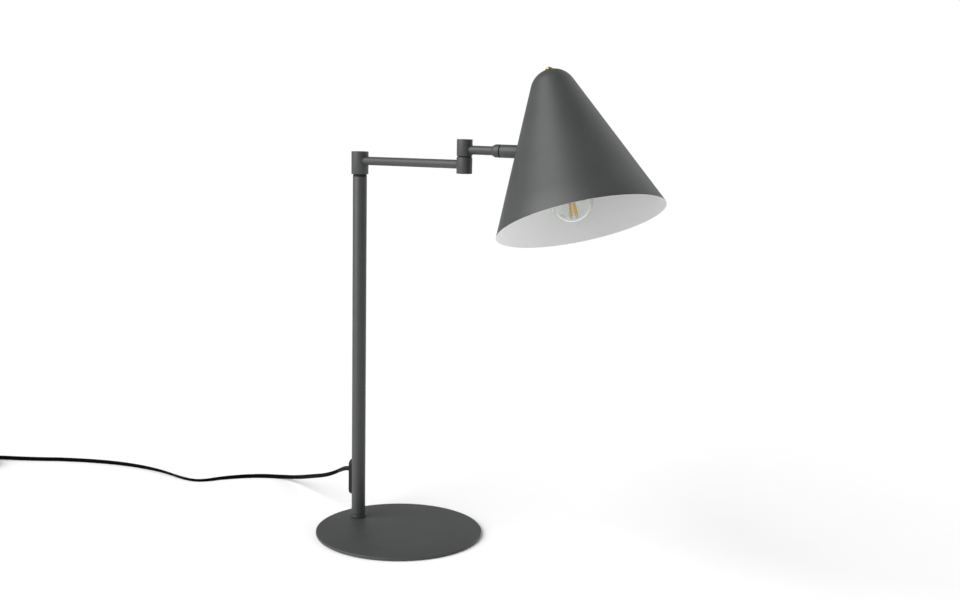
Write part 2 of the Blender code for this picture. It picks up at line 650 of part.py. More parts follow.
def shade_outline(shrink):
    """Half outline of the cone and its round top, from the rim up to the axis, moved
    inwards by shrink."""
    run = SHADE_RADIUS / math.tan(SHADE_SLOPE) - SHADE_HEIGHT
    dome = run * math.sin(SHADE_SLOPE) / (1 - math.sin(SHADE_SLOPE))
    middle = SHADE_HEIGHT - SWIVEL_OVER_RIM - dome
    rim = -SWIVEL_OVER_RIM
    points = [(shade_radius(rim) - shrink / math.cos(SHADE_SLOPE), rim)]
    steps = 7
    for k in range(steps + 1):
        angle = SHADE_SLOPE + (math.pi / 2 - SHADE_SLOPE) * k / steps
        points.append(((dome - shrink) * math.cos(angle),
                       middle + (dome - shrink) * math.sin(angle)))
    points[-1] = (0, points[-1][1])
    return points


def shade(look, carrier, lead_start):
    """Spun cone, its sleeve, and the lampholder and bulb inside it."""
    pivot = empty("shade_pivot", carrier, Matrix())
    axis = shade_axis()
    outer = shade_outline(0)
    inner = shade_outline(SHADE_WALL)
    shell = turned("shade_shell", [*reversed(inner), *outer], look["coat"], pivot, axis, 56)
    stud_hole = turned_mesh("wall_hole", disc(ARM_STUD_RADIUS + RUNNING, 0, 0.02))
    cut(shell, cutter("wall_hole", stud_hole, pivot, along_x(wall_inside() - 0.01)))
    top = SHADE_HEIGHT - SWIVEL_OVER_RIM
    screw_hole = turned_mesh("apex_hole", disc(APEX_SCREW_RADIUS + 3 * RUNNING, -0.01, 0.01), 16)
    cut(shell, cutter("apex_hole", screw_hole, pivot, axis @ Matrix.Translation((0, 0, top))))

    sleeve_start = SWIVEL_START + SWIVEL_SEAT + GAP + WASHER_THICK + GAP
    sleeve_end = wall_inside() + SWIVEL_RADIUS
    sleeve = turned("shade_sleeve", [
        (ARM_STUD_RADIUS + RUNNING, sleeve_start), (SWIVEL_RADIUS - EDGE, sleeve_start),
        (SWIVEL_RADIUS, sleeve_start + EDGE), (SWIVEL_RADIUS, sleeve_end),
        (ARM_STUD_RADIUS + RUNNING, sleeve_end)], look["coat"], pivot, along_x())
    cone = [(radius + GAP / math.cos(SHADE_SLOPE), height) for radius, height in outer[:2]]
    body = turned_mesh("cone_cutter", [(0, cone[0][1]), *cone, (0, cone[1][1])], 56)
    cut(sleeve, cutter("cone_cutter", body, pivot, axis))
    lampholder(look, pivot, axis, lead_start)
    return pivot


def lampholder(look, pivot, axis, lead_start):
    """Apex screw and nut, stem, lampholder and bulb, on an axis a little nearer to plumb.
    Local Z = 0 is the outside of the shade's top."""
    top = SHADE_HEIGHT - SWIVEL_OVER_RIM
    tip = axis @ Vector((0, 0, top))
    down = -(axis.to_3x3() @ Vector((0, 0, 1)))
    toward = down.cross(Vector((0, 0, -1))).normalized()
    hung = Matrix.Translation(tip) @ Matrix.Rotation(HOLDER_SAG, 4, toward) @ \
        Matrix.Translation(-tip) @ axis @ Matrix.Translation((0, 0, top))

    settle = GAP + APEX_NUT_RADIUS * math.sin(HOLDER_SAG)
    turned("apex_nut", ring(APEX_SCREW_RADIUS + RUNNING, APEX_NUT_RADIUS, settle,
                            settle + APEX_NUT_HEIGHT, 2 * EDGE), look["brass"], pivot, hung, 20)
    stem_top = -SHADE_WALL - GAP - STEM_RADIUS * math.sin(HOLDER_SAG) - 0.0006
    contact = -(BULB_FROM_APEX - (BULB_LENGTH - BULB_RADIUS))
    mouth = contact - BULB_CAP_LENGTH + 0.001
    holder_top = mouth + HOLDER_LENGTH
    screw_low = stem_top - 0.008
    turned("apex_screw", disc(APEX_SCREW_RADIUS, screw_low,
                              settle + APEX_NUT_HEIGHT + 0.001, EDGE / 2),
           look["steel"], pivot, hung, 12)
    turned("holder_stem", [
        (0, holder_top + GAP), (STEM_RADIUS, holder_top + GAP), (STEM_RADIUS, stem_top),
        (APEX_SCREW_RADIUS + RUNNING, stem_top),
        (APEX_SCREW_RADIUS + RUNNING, screw_low - GAP), (0, screw_low - GAP)],
        look["steel"], pivot, hung, 20)
    split = holder_top - HOLDER_CAP
    wall = 0.002
    turned("lampholder_cap", [
        (0, holder_top), (STEM_RADIUS, holder_top), (HOLDER_RADIUS, split + 0.003),
        (HOLDER_RADIUS, split), (HOLDER_RADIUS - wall, split),
        (HOLDER_RADIUS - wall, split + 0.003), (STEM_RADIUS, holder_top - wall),
        (0, holder_top - wall)], look["black"], pivot, hung, 24)
    cap_bore = BULB_CAP_RADIUS + 2 * RUNNING
    turned("lampholder_body", [
        (0, split - GAP), (HOLDER_RADIUS, split - GAP), (HOLDER_RADIUS, mouth + EDGE),
        (HOLDER_RADIUS - EDGE, mouth), (cap_bore, mouth), (cap_bore, contact + GAP),
        (0, contact + GAP)], look["black"], pivot, hung, 24)
    bulb(look, pivot, hung, contact)

    entry = hung @ Vector((-HOLDER_RADIUS - 0.002, 0, split - 0.002))
    lead("shade_lead", [(lead_start + GAP, 0, 0), (lead_start + 0.008, 0, 0.001),
                        (lead_start + 0.018, 0.0, 0.008),
                        entry + Vector((-0.008, 0, 0.001)), entry], look, pivot)


def bulb(look, pivot, hung, contact):
    """Screw cap, glass ball, and the mount with its light strips. Heights run down."""
    cap_low = contact - BULB_CAP_LENGTH
    ball = -BULB_FROM_APEX
    shell = 0.0005
    turned("bulb_cap", [
        (0, contact), (0.003, contact), (BULB_CAP_RADIUS - 0.001, contact - 0.003),
        (BULB_CAP_RADIUS, contact - 0.004), (BULB_CAP_RADIUS, cap_low),
        (BULB_CAP_RADIUS - shell, cap_low), (BULB_CAP_RADIUS - shell, contact - 0.006),
        (0, contact - 0.006)], look["steel"], pivot, hung, 24)
    neck = BULB_CAP_RADIUS - shell - RUNNING
    neck_top = cap_low + 0.006
    meet = math.asin((neck + 0.001) / BULB_RADIUS)
    outside = [(neck, neck_top), (neck, cap_low)]
    inside = [(neck - BULB_GLASS, neck_top), (neck - BULB_GLASS, cap_low)]
    steps = 10
    for k in range(steps + 1):
        angle = meet + (math.pi - meet) * k / steps
        outside.append((BULB_RADIUS * math.sin(angle), ball + BULB_RADIUS * math.cos(angle)))
        clear = BULB_RADIUS - BULB_GLASS
        inside.append((clear * math.sin(angle), ball + clear * math.cos(angle)))
    outside[-1] = (0, ball - BULB_RADIUS)
    inside[-1] = (0, ball - BULB_RADIUS + BULB_GLASS)
    turned("bulb_glass", [*reversed(inside), *outside], look["glass"], pivot, hung, 24)
    mount_top = neck_top + 0.001
    mount_low = ball + FILAMENT_LENGTH / 2 + 0.002
    turned("bulb_mount", [
        (0, mount_top), (neck - BULB_GLASS - RUNNING, mount_top),
        (neck - BULB_GLASS - RUNNING, mount_top - 0.001), (0.002, cap_low),
        (0.0016, mount_low), (0, mount_low)], look["glass"], pivot, hung, 16)
    for k in range(FILAMENTS):
        strip = turned_mesh("bulb_filament", disc(FILAMENT_RADIUS, -FILAMENT_LENGTH / 2,
                                                  FILAMENT_LENGTH / 2), 8)
        turn = Matrix.Rotation(2 * math.pi * k / FILAMENTS, 4, "Z") @ Matrix.Translation(
            (FILAMENT_SPREAD, 0, ball)) @ Matrix.Rotation(-FILAMENT_SPLAY, 4, "Y")
        placed(f"bulb_filament_{k + 1}", strip, look["filament"], pivot, hung @ turn)


def coil_gate(heading, way):
    """Where a cord on the coil's outer turn comes clear of the coil's solid: before the
    turn, with way -1, or after it, with way 1."""
    turn = COIL_MIDDLE + (COIL_COLUMNS - 1) * CORD_RADIUS
    solid = COIL_MIDDLE + COIL_COLUMNS * CORD_RADIUS + GAP
    clear = math.sqrt(solid ** 2 - (turn - CORD_RADIUS) ** 2)
    ahead = Vector((math.cos(heading), math.sin(heading), 0))
    outwards = Vector((math.sin(heading), -math.cos(heading), 0))
    return COIL_CENTRE + outwards * turn + ahead * way * clear, ahead


def cord(look):
    """The lead outside the lamp: its laid stretch, its coil and tie, and the plug."""
    half_width = COIL_COLUMNS * CORD_RADIUS
    height = 2 * COIL_LAYERS * CORD_RADIUS
    lift = TIE_THICK + GAP
    entry, heading = coil_gate(COIL_ENTRY, -1)
    entry.z = lift + CORD_RADIUS
    run = smooth_route([*CORD_ROUTE, entry - 0.004 * heading, entry], CORD_SPACING)
    tube("cord_run", run, CORD_RADIUS, look["cord"])
    turned("cord_coil", ring(COIL_MIDDLE - half_width, COIL_MIDDLE + half_width, lift,
                             lift + height, 0.001), look["cord"],
           place=Matrix.Translation(COIL_CENTRE), sides=40)
    near = math.sqrt((COIL_MIDDLE - half_width) ** 2 - (TIE_WIDTH / 2) ** 2) - GAP
    far = COIL_MIDDLE + half_width + GAP
    top = height + 2 * lift
    tie_place = Matrix.Translation(COIL_CENTRE) @ Matrix.Rotation(TIE_TURN, 4, "Z")
    band = box_mesh("coil_tie", (near - TIE_THICK, -TIE_WIDTH / 2, 0),
                    (far + TIE_THICK, TIE_WIDTH / 2, top))
    tie = placed("coil_tie", band, look["black"], place=tie_place)
    hollow = box_mesh("tie_hollow", (near, -TIE_WIDTH, TIE_THICK),
                      (far, TIE_WIDTH, top - TIE_THICK))
    cut(tie, cutter("tie_hollow", hollow, place=tie_place))
    leave, way = coil_gate(COIL_EXIT, 1)
    leave.z = lift + height - CORD_RADIUS
    neck = leave + way * TAIL_LENGTH
    neck.z = PLUG_THICK / 2
    tail = smooth_route([leave, leave + 0.3 * TAIL_LENGTH * way, neck - 0.2 * TAIL_LENGTH * way,
                         neck], CORD_SPACING)
    tube("cord_tail", tail, CORD_RADIUS, look["cord"])
    lying = Matrix.Translation((neck.x, neck.y, 0)) @ Matrix.Rotation(COIL_EXIT, 4, "Z")
    body = [(GAP, -PLUG_WIDTH / 6), (PLUG_LENGTH * 0.35, -PLUG_WIDTH / 2.4),
            (PLUG_LENGTH * 0.75, -PLUG_WIDTH / 2), (PLUG_LENGTH, -PLUG_WIDTH / 2),
            (PLUG_LENGTH, PLUG_WIDTH / 2), (PLUG_LENGTH * 0.75, PLUG_WIDTH / 2),
            (PLUG_LENGTH * 0.35, PLUG_WIDTH / 2.4), (GAP, PLUG_WIDTH / 6)]
    placed("plug_body", extruded_mesh("plug_body", body, PLUG_THICK, bevel=0.0015),
           look["black"], place=lying)
    for k, side in enumerate((-1, 1)):
        pin = turned_mesh("plug_pin", disc(PIN_RADIUS, 0, PIN_LENGTH, EDGE), 16)
        spot = Matrix.Translation((PLUG_LENGTH + GAP, side * PIN_SPACING / 2, PLUG_THICK / 2))
        placed(f"plug_pin_{k + 1}", pin, look["steel"], None,
               lying @ spot @ Matrix.Rotation(math.pi / 2, 4, "Y"))


def main():
    for old in list(bpy.data.objects):
        bpy.data.objects.remove(old)
    look = finishes()
    base(look)
    pole(look)
    switch(look)
    pole_lead(look)
    inner_arm = arm_1(look)
    outer_arm, lead_end = arm_2(look, inner_arm)
    shade(look, outer_arm, lead_end)
    cord(look)


main()
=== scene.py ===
"""Looks of the architect desk lamp: camera, cord, finer pieces, finishes, light and floor.

Metres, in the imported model's own frame: +Z up, origin under the middle of the base.
"""
import math

import bpy
from mathutils import Matrix, Vector


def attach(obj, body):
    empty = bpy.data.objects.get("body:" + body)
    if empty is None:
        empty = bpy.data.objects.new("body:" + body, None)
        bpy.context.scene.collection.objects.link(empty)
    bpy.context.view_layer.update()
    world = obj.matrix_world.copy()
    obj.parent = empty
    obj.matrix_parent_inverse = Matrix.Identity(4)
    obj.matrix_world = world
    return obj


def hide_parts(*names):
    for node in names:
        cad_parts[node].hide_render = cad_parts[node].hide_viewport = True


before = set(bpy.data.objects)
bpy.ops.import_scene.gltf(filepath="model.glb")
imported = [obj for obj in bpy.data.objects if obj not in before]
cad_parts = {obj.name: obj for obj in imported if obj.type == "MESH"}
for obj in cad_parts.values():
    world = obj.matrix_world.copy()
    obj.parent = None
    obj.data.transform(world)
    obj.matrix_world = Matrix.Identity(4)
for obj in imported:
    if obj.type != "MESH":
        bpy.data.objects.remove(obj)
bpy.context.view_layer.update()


def mm(length):
    """Millimetres as metres."""
    return length / 1000


# Where the lamp's main lines run
POLE = Vector((mm(-66.5), 0, 0))
BASE_RADIUS = mm(95)
POLE_RADIUS = mm(8)
BASE_BOTTOM = mm(1.0)
BASE_TOP = mm(4.0)
POLE_BOTTOM = mm(8.0)
POLE_TOP = mm(406.4)
COLLAR_BOTTOM = mm(409.1)
ARM_1_HEIGHT = mm(425.5)
ELBOW_LINE = mm(434.5)
ARM_2_HEIGHT = mm(442.2)
ARM_1_LENGTH = mm(154.5)
ARM_2_LENGTH = mm(118)
ARM_1_YAW = math.radians(1.0)
ARM_1_RISE = math.radians(0.9)
ARM_2_YAW = math.radians(12.4)
ARM_RADIUS = mm(4.75)
ARM_BORE = mm(3.75)
COLLAR_RADIUS = mm(9.7)
COLLAR_HEIGHT = mm(25.5)
BARREL_RADIUS = mm(8.4)
BARREL_HEIGHT = mm(17.5)
ELBOW_GAP = mm(1.2)             # between the elbow's two barrels
SWIVEL_RADIUS = mm(6.95)

# Shade, measured along its own axis from where the swivel's axis crosses it
SHADE_RADIUS = mm(87.5)
SHADE_TOP = mm(91.0)
SHADE_RIM = mm(-73.5)
SHADE_WALL = mm(0.8)
SHADE_SLOPE = math.radians(23.5)
HOLDER_SAG = math.radians(3.5)

# Cord: flat lead with two cores
CORD_WIDTH = mm(5.2)
CORD_THICK = mm(2.8)
CORD_ROUTE = [
    (-0.0992, 0.0000, 0.0536), (-0.1133, 0.0020, 0.0470), (-0.1283, 0.0062, 0.0410),
    (-0.1455, 0.0123, 0.0350), (-0.1648, 0.0200, 0.0287), (-0.1848, 0.0282, 0.0222),
    (-0.2042, 0.0354, 0.0160), (-0.2229, 0.0419, 0.0105), (-0.2383, 0.0453, 0.0065),
    (-0.2513, 0.0464, 0.0040), (-0.2605, 0.0441, 0.0029), (-0.2747, 0.0358, 0.0026),
    (-0.2865, 0.0254, 0.0026), (-0.2965, 0.0136, 0.0026), (-0.3053, 0.0008, 0.0026),
    (-0.3129, -0.0128, 0.0026), (-0.3192, -0.0272, 0.0026), (-0.3302, -0.0380, 0.0026),
    (-0.3494, -0.0425, 0.0026), (-0.3742, -0.0432, 0.0026), (-0.3978, -0.0452, 0.0026),
    (-0.4270, -0.0508, 0.0026), (-0.4620, -0.0625, 0.0026), (-0.4980, -0.0810, 0.0026),
    (-0.5330, -0.1045, 0.0026), (-0.5620, -0.1290, 0.0027)]
# Lean of the cord's wide side from upright at each of those points, in degrees
CORD_TWIST = [-61, -46, -33, -24, -16, -11, -7, -3, 0, 5, 12, 20, 37, 46, 57, 71, 83, 93, 104,
              122, 140, 155, 168, 178, 180, 180]
COIL_CENTRE = Vector((-0.6017, -0.2045, 0))
COIL_TURNS = 6.25
COIL_ENTRY = math.radians(219.9)
COIL_EXIT = math.radians(309.9)
COIL_GATE = mm(19.32)           # straight cord between the coil's outer turn and its free end
TAIL_LENGTH = mm(34)
PLUG_LENGTH = mm(36)
PLUG_WIDTH = mm(26)
PLUG_THICK = mm(13.7)


# ---------------------------------------------------------------- camera

def set_camera():
    """A 47 mm lens at desk height, a little tilted, looking over the base at the shade."""
    lens = bpy.data.cameras.new("camera")
    lens.lens = 47.475
    lens.sensor_width = 36
    lens.sensor_fit = "HORIZONTAL"
    lens.clip_end = 50
    camera = bpy.data.objects.new("camera", lens)
    bpy.context.scene.collection.objects.link(camera)
    ahead = Vector((-0.63474, 0.75753, -0.15245))
    turn = ahead.to_track_quat("-Z", "Y").to_matrix().to_4x4()
    camera.matrix_world = (Matrix.Translation((0.9692, -1.0189, 0.4897)) @ turn
                           @ Matrix.Rotation(0.01933, 4, "Z"))
    bpy.context.scene.camera = camera


# ---------------------------------------------------------------- finishes

def srgb(code):
    """An sRGB hex value as linear colour."""
    parts = [int(code[k:k + 2], 16) / 255 for k in (0, 2, 4)]
    return (*[c / 12.92 if c <= 0.04045 else ((c + 0.055) / 1.055) ** 2.4 for c in parts], 1)


def add_node(tree, kind, inputs, **settings):
    """Adds a shader node, with its settings, and its inputs as values or links."""
    node = tree.nodes.new("ShaderNode" + kind)
    for name, value in settings.items():
        setattr(node, name, value)
    for key, value in inputs.items():
        if isinstance(value, bpy.types.NodeSocket):
            tree.links.new(value, node.inputs[key])
        else:
            node.inputs[key].default_value = value
    return node


def new_finish(name, **constants):
    """An empty finish: the material, its node tree, its shader and the place on the lamp."""
    made = bpy.data.materials.new(name)
    made.use_nodes = True
    tree = made.node_tree
    shader = tree.nodes["Principled BSDF"]
    for key, value in constants.items():
        shader.inputs[key.replace("_", " ")].default_value = value
    place = add_node(tree, "TexCoord", {}).outputs["Object"]
    return made, tree, shader, place


def tone(tree, shader, amount, dark, light):
    """Colour between two tones, led by a pattern."""
    mixed = add_node(tree, "Mix", {0: amount, 6: srgb(dark), 7: srgb(light)}, data_type="RGBA")
    tree.links.new(mixed.outputs[2], shader.inputs["Base Color"])


def roughened(tree, shader, amount, low, high):
    """Roughness between two values, led by a pattern."""
    spread = add_node(tree, "MapRange", {"Value": amount, "From Min": 0.3, "From Max": 0.7,
                                         "To Min": low, "To Max": high})
    tree.links.new(spread.outputs[0], shader.inputs["Roughness"])


def bumped(tree, shader, height, strength, depth):
    """Relief of a real depth in metres."""
    relief = add_node(tree, "Bump", {"Height": height, "Strength": strength, "Distance": depth})
    tree.links.new(relief.outputs[0], shader.inputs["Normal"])


def powder_coat():
    """Polyester powder coat, fine structure, baked on steel: an even satin grey with a
    sandy grain. The real grain is about 0.2 mm; it is drawn at 0.7 mm so that it shows."""
    made, tree, shader, place = new_finish("powder_coated_steel", IOR=1.5)
    grain = add_node(tree, "TexNoise", {"Vector": place, "Scale": 1 / mm(0.7), "Detail": 2.0,
                                        "Roughness": 0.6}).outputs[0]
    cloud = add_node(tree, "TexNoise", {"Vector": place, "Scale": 1 / mm(35),
                                        "Detail": 2.0}).outputs[0]
    both = add_node(tree, "Math", {0: grain, 1: cloud}, operation="ADD").outputs[0]
    half = add_node(tree, "Math", {0: both, 1: 0.5}, operation="MULTIPLY").outputs[0]
    tone(tree, shader, half, "2D2F2E", "444645")
    roughened(tree, shader, grain, 0.40, 0.54)
    bumped(tree, shader, grain, 0.5, mm(0.05))
    return made


def white_enamel():
    """Sprayed white enamel inside the shade: semi-matt, with a faint orange peel of about
    2 mm."""
    made, tree, shader, place = new_finish("white_enamel", IOR=1.5)
    peel = add_node(tree, "TexNoise", {"Vector": place, "Scale": 1 / mm(2.2),
                                       "Detail": 1.5}).outputs[0]
    tone(tree, shader, peel, "D0D1D0", "D8D9D8")
    roughened(tree, shader, peel, 0.42, 0.52)
    bumped(tree, shader, peel, 0.2, mm(0.04))
    return made


def moulded_plastic(name, dark, light, low, high, grain_size):
    """Injection-moulded plastic with a spark-eroded surface: dull, with a fine, even
    grain."""
    made, tree, shader, place = new_finish(name, IOR=1.5, Specular_IOR_Level=0.2)
    grain = add_node(tree, "TexVoronoi", {"Vector": place, "Scale": 1 / mm(grain_size)}
                     ).outputs["Distance"]
    cloud = add_node(tree, "TexNoise", {"Vector": place, "Scale": 1 / mm(9),
                                        "Detail": 3.0}).outputs[0]
    tone(tree, shader, cloud, dark, light)
    roughened(tree, shader, cloud, low, high)
    bumped(tree, shader, grain, 0.25, mm(0.03))
    return made


def soft_pvc():
    """Extruded PVC sheath of the cord: smooth dull black, slightly uneven along its length
    where it has been handled."""
    made, tree, shader, place = new_finish("extruded_pvc", IOR=1.53, Specular_IOR_Level=0.02)
    handled = add_node(tree, "TexNoise", {"Vector": place, "Scale": 1 / mm(14),
                                          "Detail": 4.0}).outputs[0]
    tone(tree, shader, handled, "050505", "0C0C0D")
    roughened(tree, shader, handled, 0.55, 0.7)
    ripple = add_node(tree, "TexNoise", {"Vector": place, "Scale": 1 / mm(1.6),
                                         "Detail": 1.0}).outputs[0]
    bumped(tree, shader, ripple, 0.2, mm(0.04))
    return made


def plated_metal(name, dark, light, low, high, grain_size):
    """Plated or turned metal: a clean metallic colour with fine, slightly uneven gloss."""
    made, tree, shader, place = new_finish(name, Metallic=1.0)
    grain = add_node(tree, "TexNoise", {"Vector": place, "Scale": 1 / mm(grain_size),
                                        "Detail": 3.0}).outputs[0]
    tone(tree, shader, grain, dark, light)
    roughened(tree, shader, grain, low, high)
    bumped(tree, shader, grain, 0.15, mm(0.02))
    return made


def closed_cell_foam():
    """Foamed EVA sheet under the base: matt near-black with cells of about 0.8 mm."""
    made, tree, shader, place = new_finish("eva_foam", IOR=1.45)
    cells = add_node(tree, "TexVoronoi", {"Vector": place, "Scale": 1 / mm(0.8)}
                     ).outputs["Distance"]
    tone(tree, shader, cells, "242526", "343536")
    roughened(tree, shader, cells, 0.85, 0.95)
    bumped(tree, shader, cells, 0.6, mm(0.12))
    return made


def blown_glass():
    """Soda-lime glass blown in a mould: clear, with a very slow waviness of about 12 mm."""
    made, tree, shader, place = new_finish("soda_lime_glass", IOR=1.5, Roughness=0.01,
                                           Transmission_Weight=1.0)
    wave = add_node(tree, "TexNoise", {"Vector": place, "Scale": 1 / mm(12),
                                       "Detail": 0.0}).outputs[0]
    tone(tree, shader, wave, "F6F8F6", "FCFDFC")
    bumped(tree, shader, wave, 0.1, mm(0.1))
    return made


def phosphor_silicone():
    """Silicone loaded with phosphor over the light strip: matt egg-yolk yellow, a little
    mottled."""
    made, tree, shader, place = new_finish("phosphor_silicone", IOR=1.41)
    mottle = add_node(tree, "TexNoise", {"Vector": place, "Scale": 1 / mm(1.2),
                                         "Detail": 2.0}).outputs[0]
    tone(tree, shader, mottle, "FFB40F", "FFD848")
    roughened(tree, shader, mottle, 0.45, 0.6)
    bumped(tree, shader, mottle, 0.3, mm(0.06))
    return made


def make_finishes():
    """Every finish on the lamp: colours dark and light, then least and most roughness, then
    the size of the grain in millimetres."""
    return {
        "coat": powder_coat(),
        "lining": white_enamel(),
        "black": moulded_plastic("black_abs", "08090A", "101112", 0.40, 0.55, 0.5),
        "holder": moulded_plastic("black_bakelite", "191716", "262322", 0.30, 0.42, 0.7),
        "nylon": moulded_plastic("black_nylon", "141516", "1D1E1F", 0.5, 0.6, 0.5),
        "pvc": soft_pvc(),
        "zinc": plated_metal("zinc_plated_steel", "A9ABAE", "C4C6C8", 0.30, 0.45, 1.2),
        "nickel": plated_metal("nickel_plated_brass", "BDB7AB", "D6D1C6", 0.20, 0.32, 1.5),
        "brass": plated_metal("turned_brass", "A9853F", "CDA95C", 0.24, 0.36, 0.8),
        "iron": plated_metal("blackened_steel", "2A2A2B", "3C3C3D", 0.35, 0.5, 0.6),
        "foam": closed_cell_foam(),
        "glass": blown_glass(),
        "phosphor": phosphor_silicone(),
    }


# ---------------------------------------------------------------- modelling by operator

def deselect_all():
    """Leaves nothing selected, so that an operator acts on the new piece alone."""
    for thing in bpy.context.selected_objects:
        thing.select_set(False)


def take(piece):
    """Makes one piece the selected and active one."""
    deselect_all()
    bpy.context.view_layer.objects.active = piece
    piece.select_set(True)
    return piece


def named(name):
    """Names the primitive that was just added, and its mesh."""
    piece = bpy.context.object
    piece.name = name
    piece.data.name = name
    return piece


def settle(piece, place=None):
    """Moves a piece to its place, and applies that to its mesh."""
    take(piece)
    if place is not None:
        piece.matrix_world = place @ piece.matrix_world
    bpy.ops.object.transform_apply(location=True, rotation=True, scale=True)
    return piece


def smoothed(piece, angle=32):
    """Smooth round sides, crisp edges."""
    take(piece)
    bpy.ops.object.shade_smooth_by_angle(angle=math.radians(angle))
    return piece


def apply_last(piece, modifier):
    """Applies a modifier to the piece's mesh."""
    take(piece)
    bpy.ops.object.modifier_apply(modifier=modifier.name)
    return piece


def softened(piece, width, segments=3, angle=32):
    """Rounds the edges sharper than an angle."""
    bevel = piece.modifiers.new("edges", "BEVEL")
    bevel.width = width
    bevel.segments = segments
    bevel.limit_method = "ANGLE"
    bevel.angle_limit = math.radians(angle)
    bevel.use_clamp_overlap = True
    return apply_last(piece, bevel)


def cut_away(piece, tool):
    """Takes a tool's shape out of a piece, and removes the tool."""
    cut = piece.modifiers.new("cut", "BOOLEAN")
    cut.operation = "DIFFERENCE"
    cut.solver = "EXACT"
    cut.object = tool
    apply_last(piece, cut)
    bpy.data.objects.remove(tool)
    return piece


def worn(piece, body, finish, slot, *nodes):
    """Gives a piece its finish, its body and the solids it stands for; its record slot is not
    used.
    """
    piece.data.materials.clear()
    piece.data.materials.append(finish)
    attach(piece, body)
    if nodes:
        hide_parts(*nodes)
    return piece


def block(name, middle, size):
    """A rectangular block, applied in place."""
    deselect_all()
    bpy.ops.mesh.primitive_cube_add(size=1, location=middle)
    piece = named(name)
    piece.scale = size
    return settle(piece)


def drawn_along(name, rings, angle):
    """A closed piece skinned over rings of points, all with the same count."""
    sides, points = len(rings[0]), [point for ring in rings for point in ring]
    faces = []
    for k in range(len(rings) - 1):
        for j in range(sides):
            n = (j + 1) % sides
            faces.append((k * sides + j, k * sides + n, (k + 1) * sides + n,
                          (k + 1) * sides + j))
    last = (len(rings) - 1) * sides
    faces += [tuple(reversed(range(sides))), tuple(range(last, last + sides))]
    mesh = bpy.data.meshes.new(name)
    mesh.from_pydata(points, [], faces)
    piece = bpy.data.objects.new(name, mesh)
    bpy.context.scene.collection.objects.link(piece)
    take(piece)
    bpy.ops.object.mode_set(mode="EDIT")
    bpy.ops.mesh.select_all(action="SELECT")
    bpy.ops.mesh.normals_make_consistent(inside=False)
    bpy.ops.object.mode_set(mode="OBJECT")
    return smoothed(piece, angle)


def turned(name, outline, place, sides=72):
    """A piece turned on a lathe: a point is drawn along a half outline of (radius, height),
    and the line is spun round local Z."""
    deselect_all()
    first = Vector((outline[0][0], 0, outline[0][1]))
    bpy.ops.mesh.primitive_plane_add(size=mm(0.2), location=first)
    piece = named(name)
    bpy.ops.object.transform_apply(location=True, rotation=True, scale=True)
    bpy.ops.object.mode_set(mode="EDIT")
    bpy.ops.mesh.select_mode(type="VERT")
    bpy.ops.mesh.select_all(action="SELECT")
    bpy.ops.mesh.merge(type="CENTER")
    here = first
    for radius, height in outline[1:]:
        there = Vector((radius, 0, height))
        bpy.ops.mesh.extrude_region_move(TRANSFORM_OT_translate={"value": there - here})
        here = there
    bpy.ops.mesh.select_all(action="SELECT")
    bpy.ops.mesh.spin(steps=sides, angle=2 * math.pi, center=(0, 0, 0), axis=(0, 0, 1))
    bpy.ops.mesh.select_all(action="SELECT")
    bpy.ops.mesh.remove_doubles(threshold=mm(0.002))
    bpy.ops.mesh.normals_make_consistent(inside=False)
    bpy.ops.object.mode_set(mode="OBJECT")
    return settle(piece, place)


def disc(radius, low, high):
    """Half outline of a solid round."""
    return [(0, low), (radius, low), (radius, high), (0, high)]


def pipe(inner, outer, low, high):
    """Closed half outline of a tube."""
    return [(inner, low), (outer, low), (outer, high), (inner, high), (inner, low)]


def along_x():
    """Frame whose local Z runs along the arm's X."""
    return Matrix.Rotation(math.pi / 2, 4, "Y")


def select_where(piece, wanted):
    """In edit mode, selects the faces whose middle and normal pass a test."""
    bpy.ops.mesh.select_mode(type="FACE")
    bpy.ops.mesh.select_all(action="DESELECT")
    bpy.ops.object.mode_set(mode="OBJECT")
    for face in piece.data.polygons:
        face.select = wanted(face.center, face.normal)
    bpy.ops.object.mode_set(mode="EDIT")


# ---------------------------------------------------------------- stand

def make_base(look):
    """Round steel plate with a fine rounded edge, and the ring that the pole stands in."""
    plate = turned("base_disc", disc(BASE_RADIUS, BASE_BOTTOM, BASE_TOP), Matrix(), 160)
    smoothed(softened(plate, mm(0.6), 4))
    worn(plate, "stand", look["coat"], "coat", "base_plate")
    at_pole = Matrix.Translation(POLE)
    low = BASE_TOP + mm(0.3)
    ring = turned("pole_ring", [
        (mm(3.3), low), (mm(8.7), low), (mm(8.7), low + mm(3.4)), (mm(6.7), low + mm(3.4)),
        (mm(6.7), low + mm(19.4)), (mm(3.3), low + mm(19.4)), (mm(3.3), low)], at_pole)
    smoothed(softened(ring, mm(0.35)))
    worn(ring, "stand", look["coat"], "coat", "pole_foot")


def make_pole(look):
    """Pole tube, flaring by a hair over its lowest 9 mm."""
    post = turned("pole_post", [
        (mm(7.0), POLE_BOTTOM), (mm(8.4), POLE_BOTTOM), (mm(8.3), POLE_BOTTOM + mm(2)),
        (mm(8.1), POLE_BOTTOM + mm(6)), (POLE_RADIUS, POLE_BOTTOM + mm(10)),
        (POLE_RADIUS, POLE_TOP), (mm(7.0), POLE_TOP), (mm(7.0), POLE_BOTTOM)],
        Matrix.Translation(POLE), 96)
    smoothed(softened(post, mm(0.2), 2))
    worn(post, "stand", look["coat"], "coat", "pole_tube")


def switch_face(depth):
    """Frame on the back of the pole: local X along -Y, local Y up, local Z outwards."""
    turn = Matrix(((0, 0, -1), (-1, 0, 0), (0, 1, 0))).to_4x4()
    return Matrix.Translation(POLE + Vector((-depth, 0, mm(51.5)))) @ turn


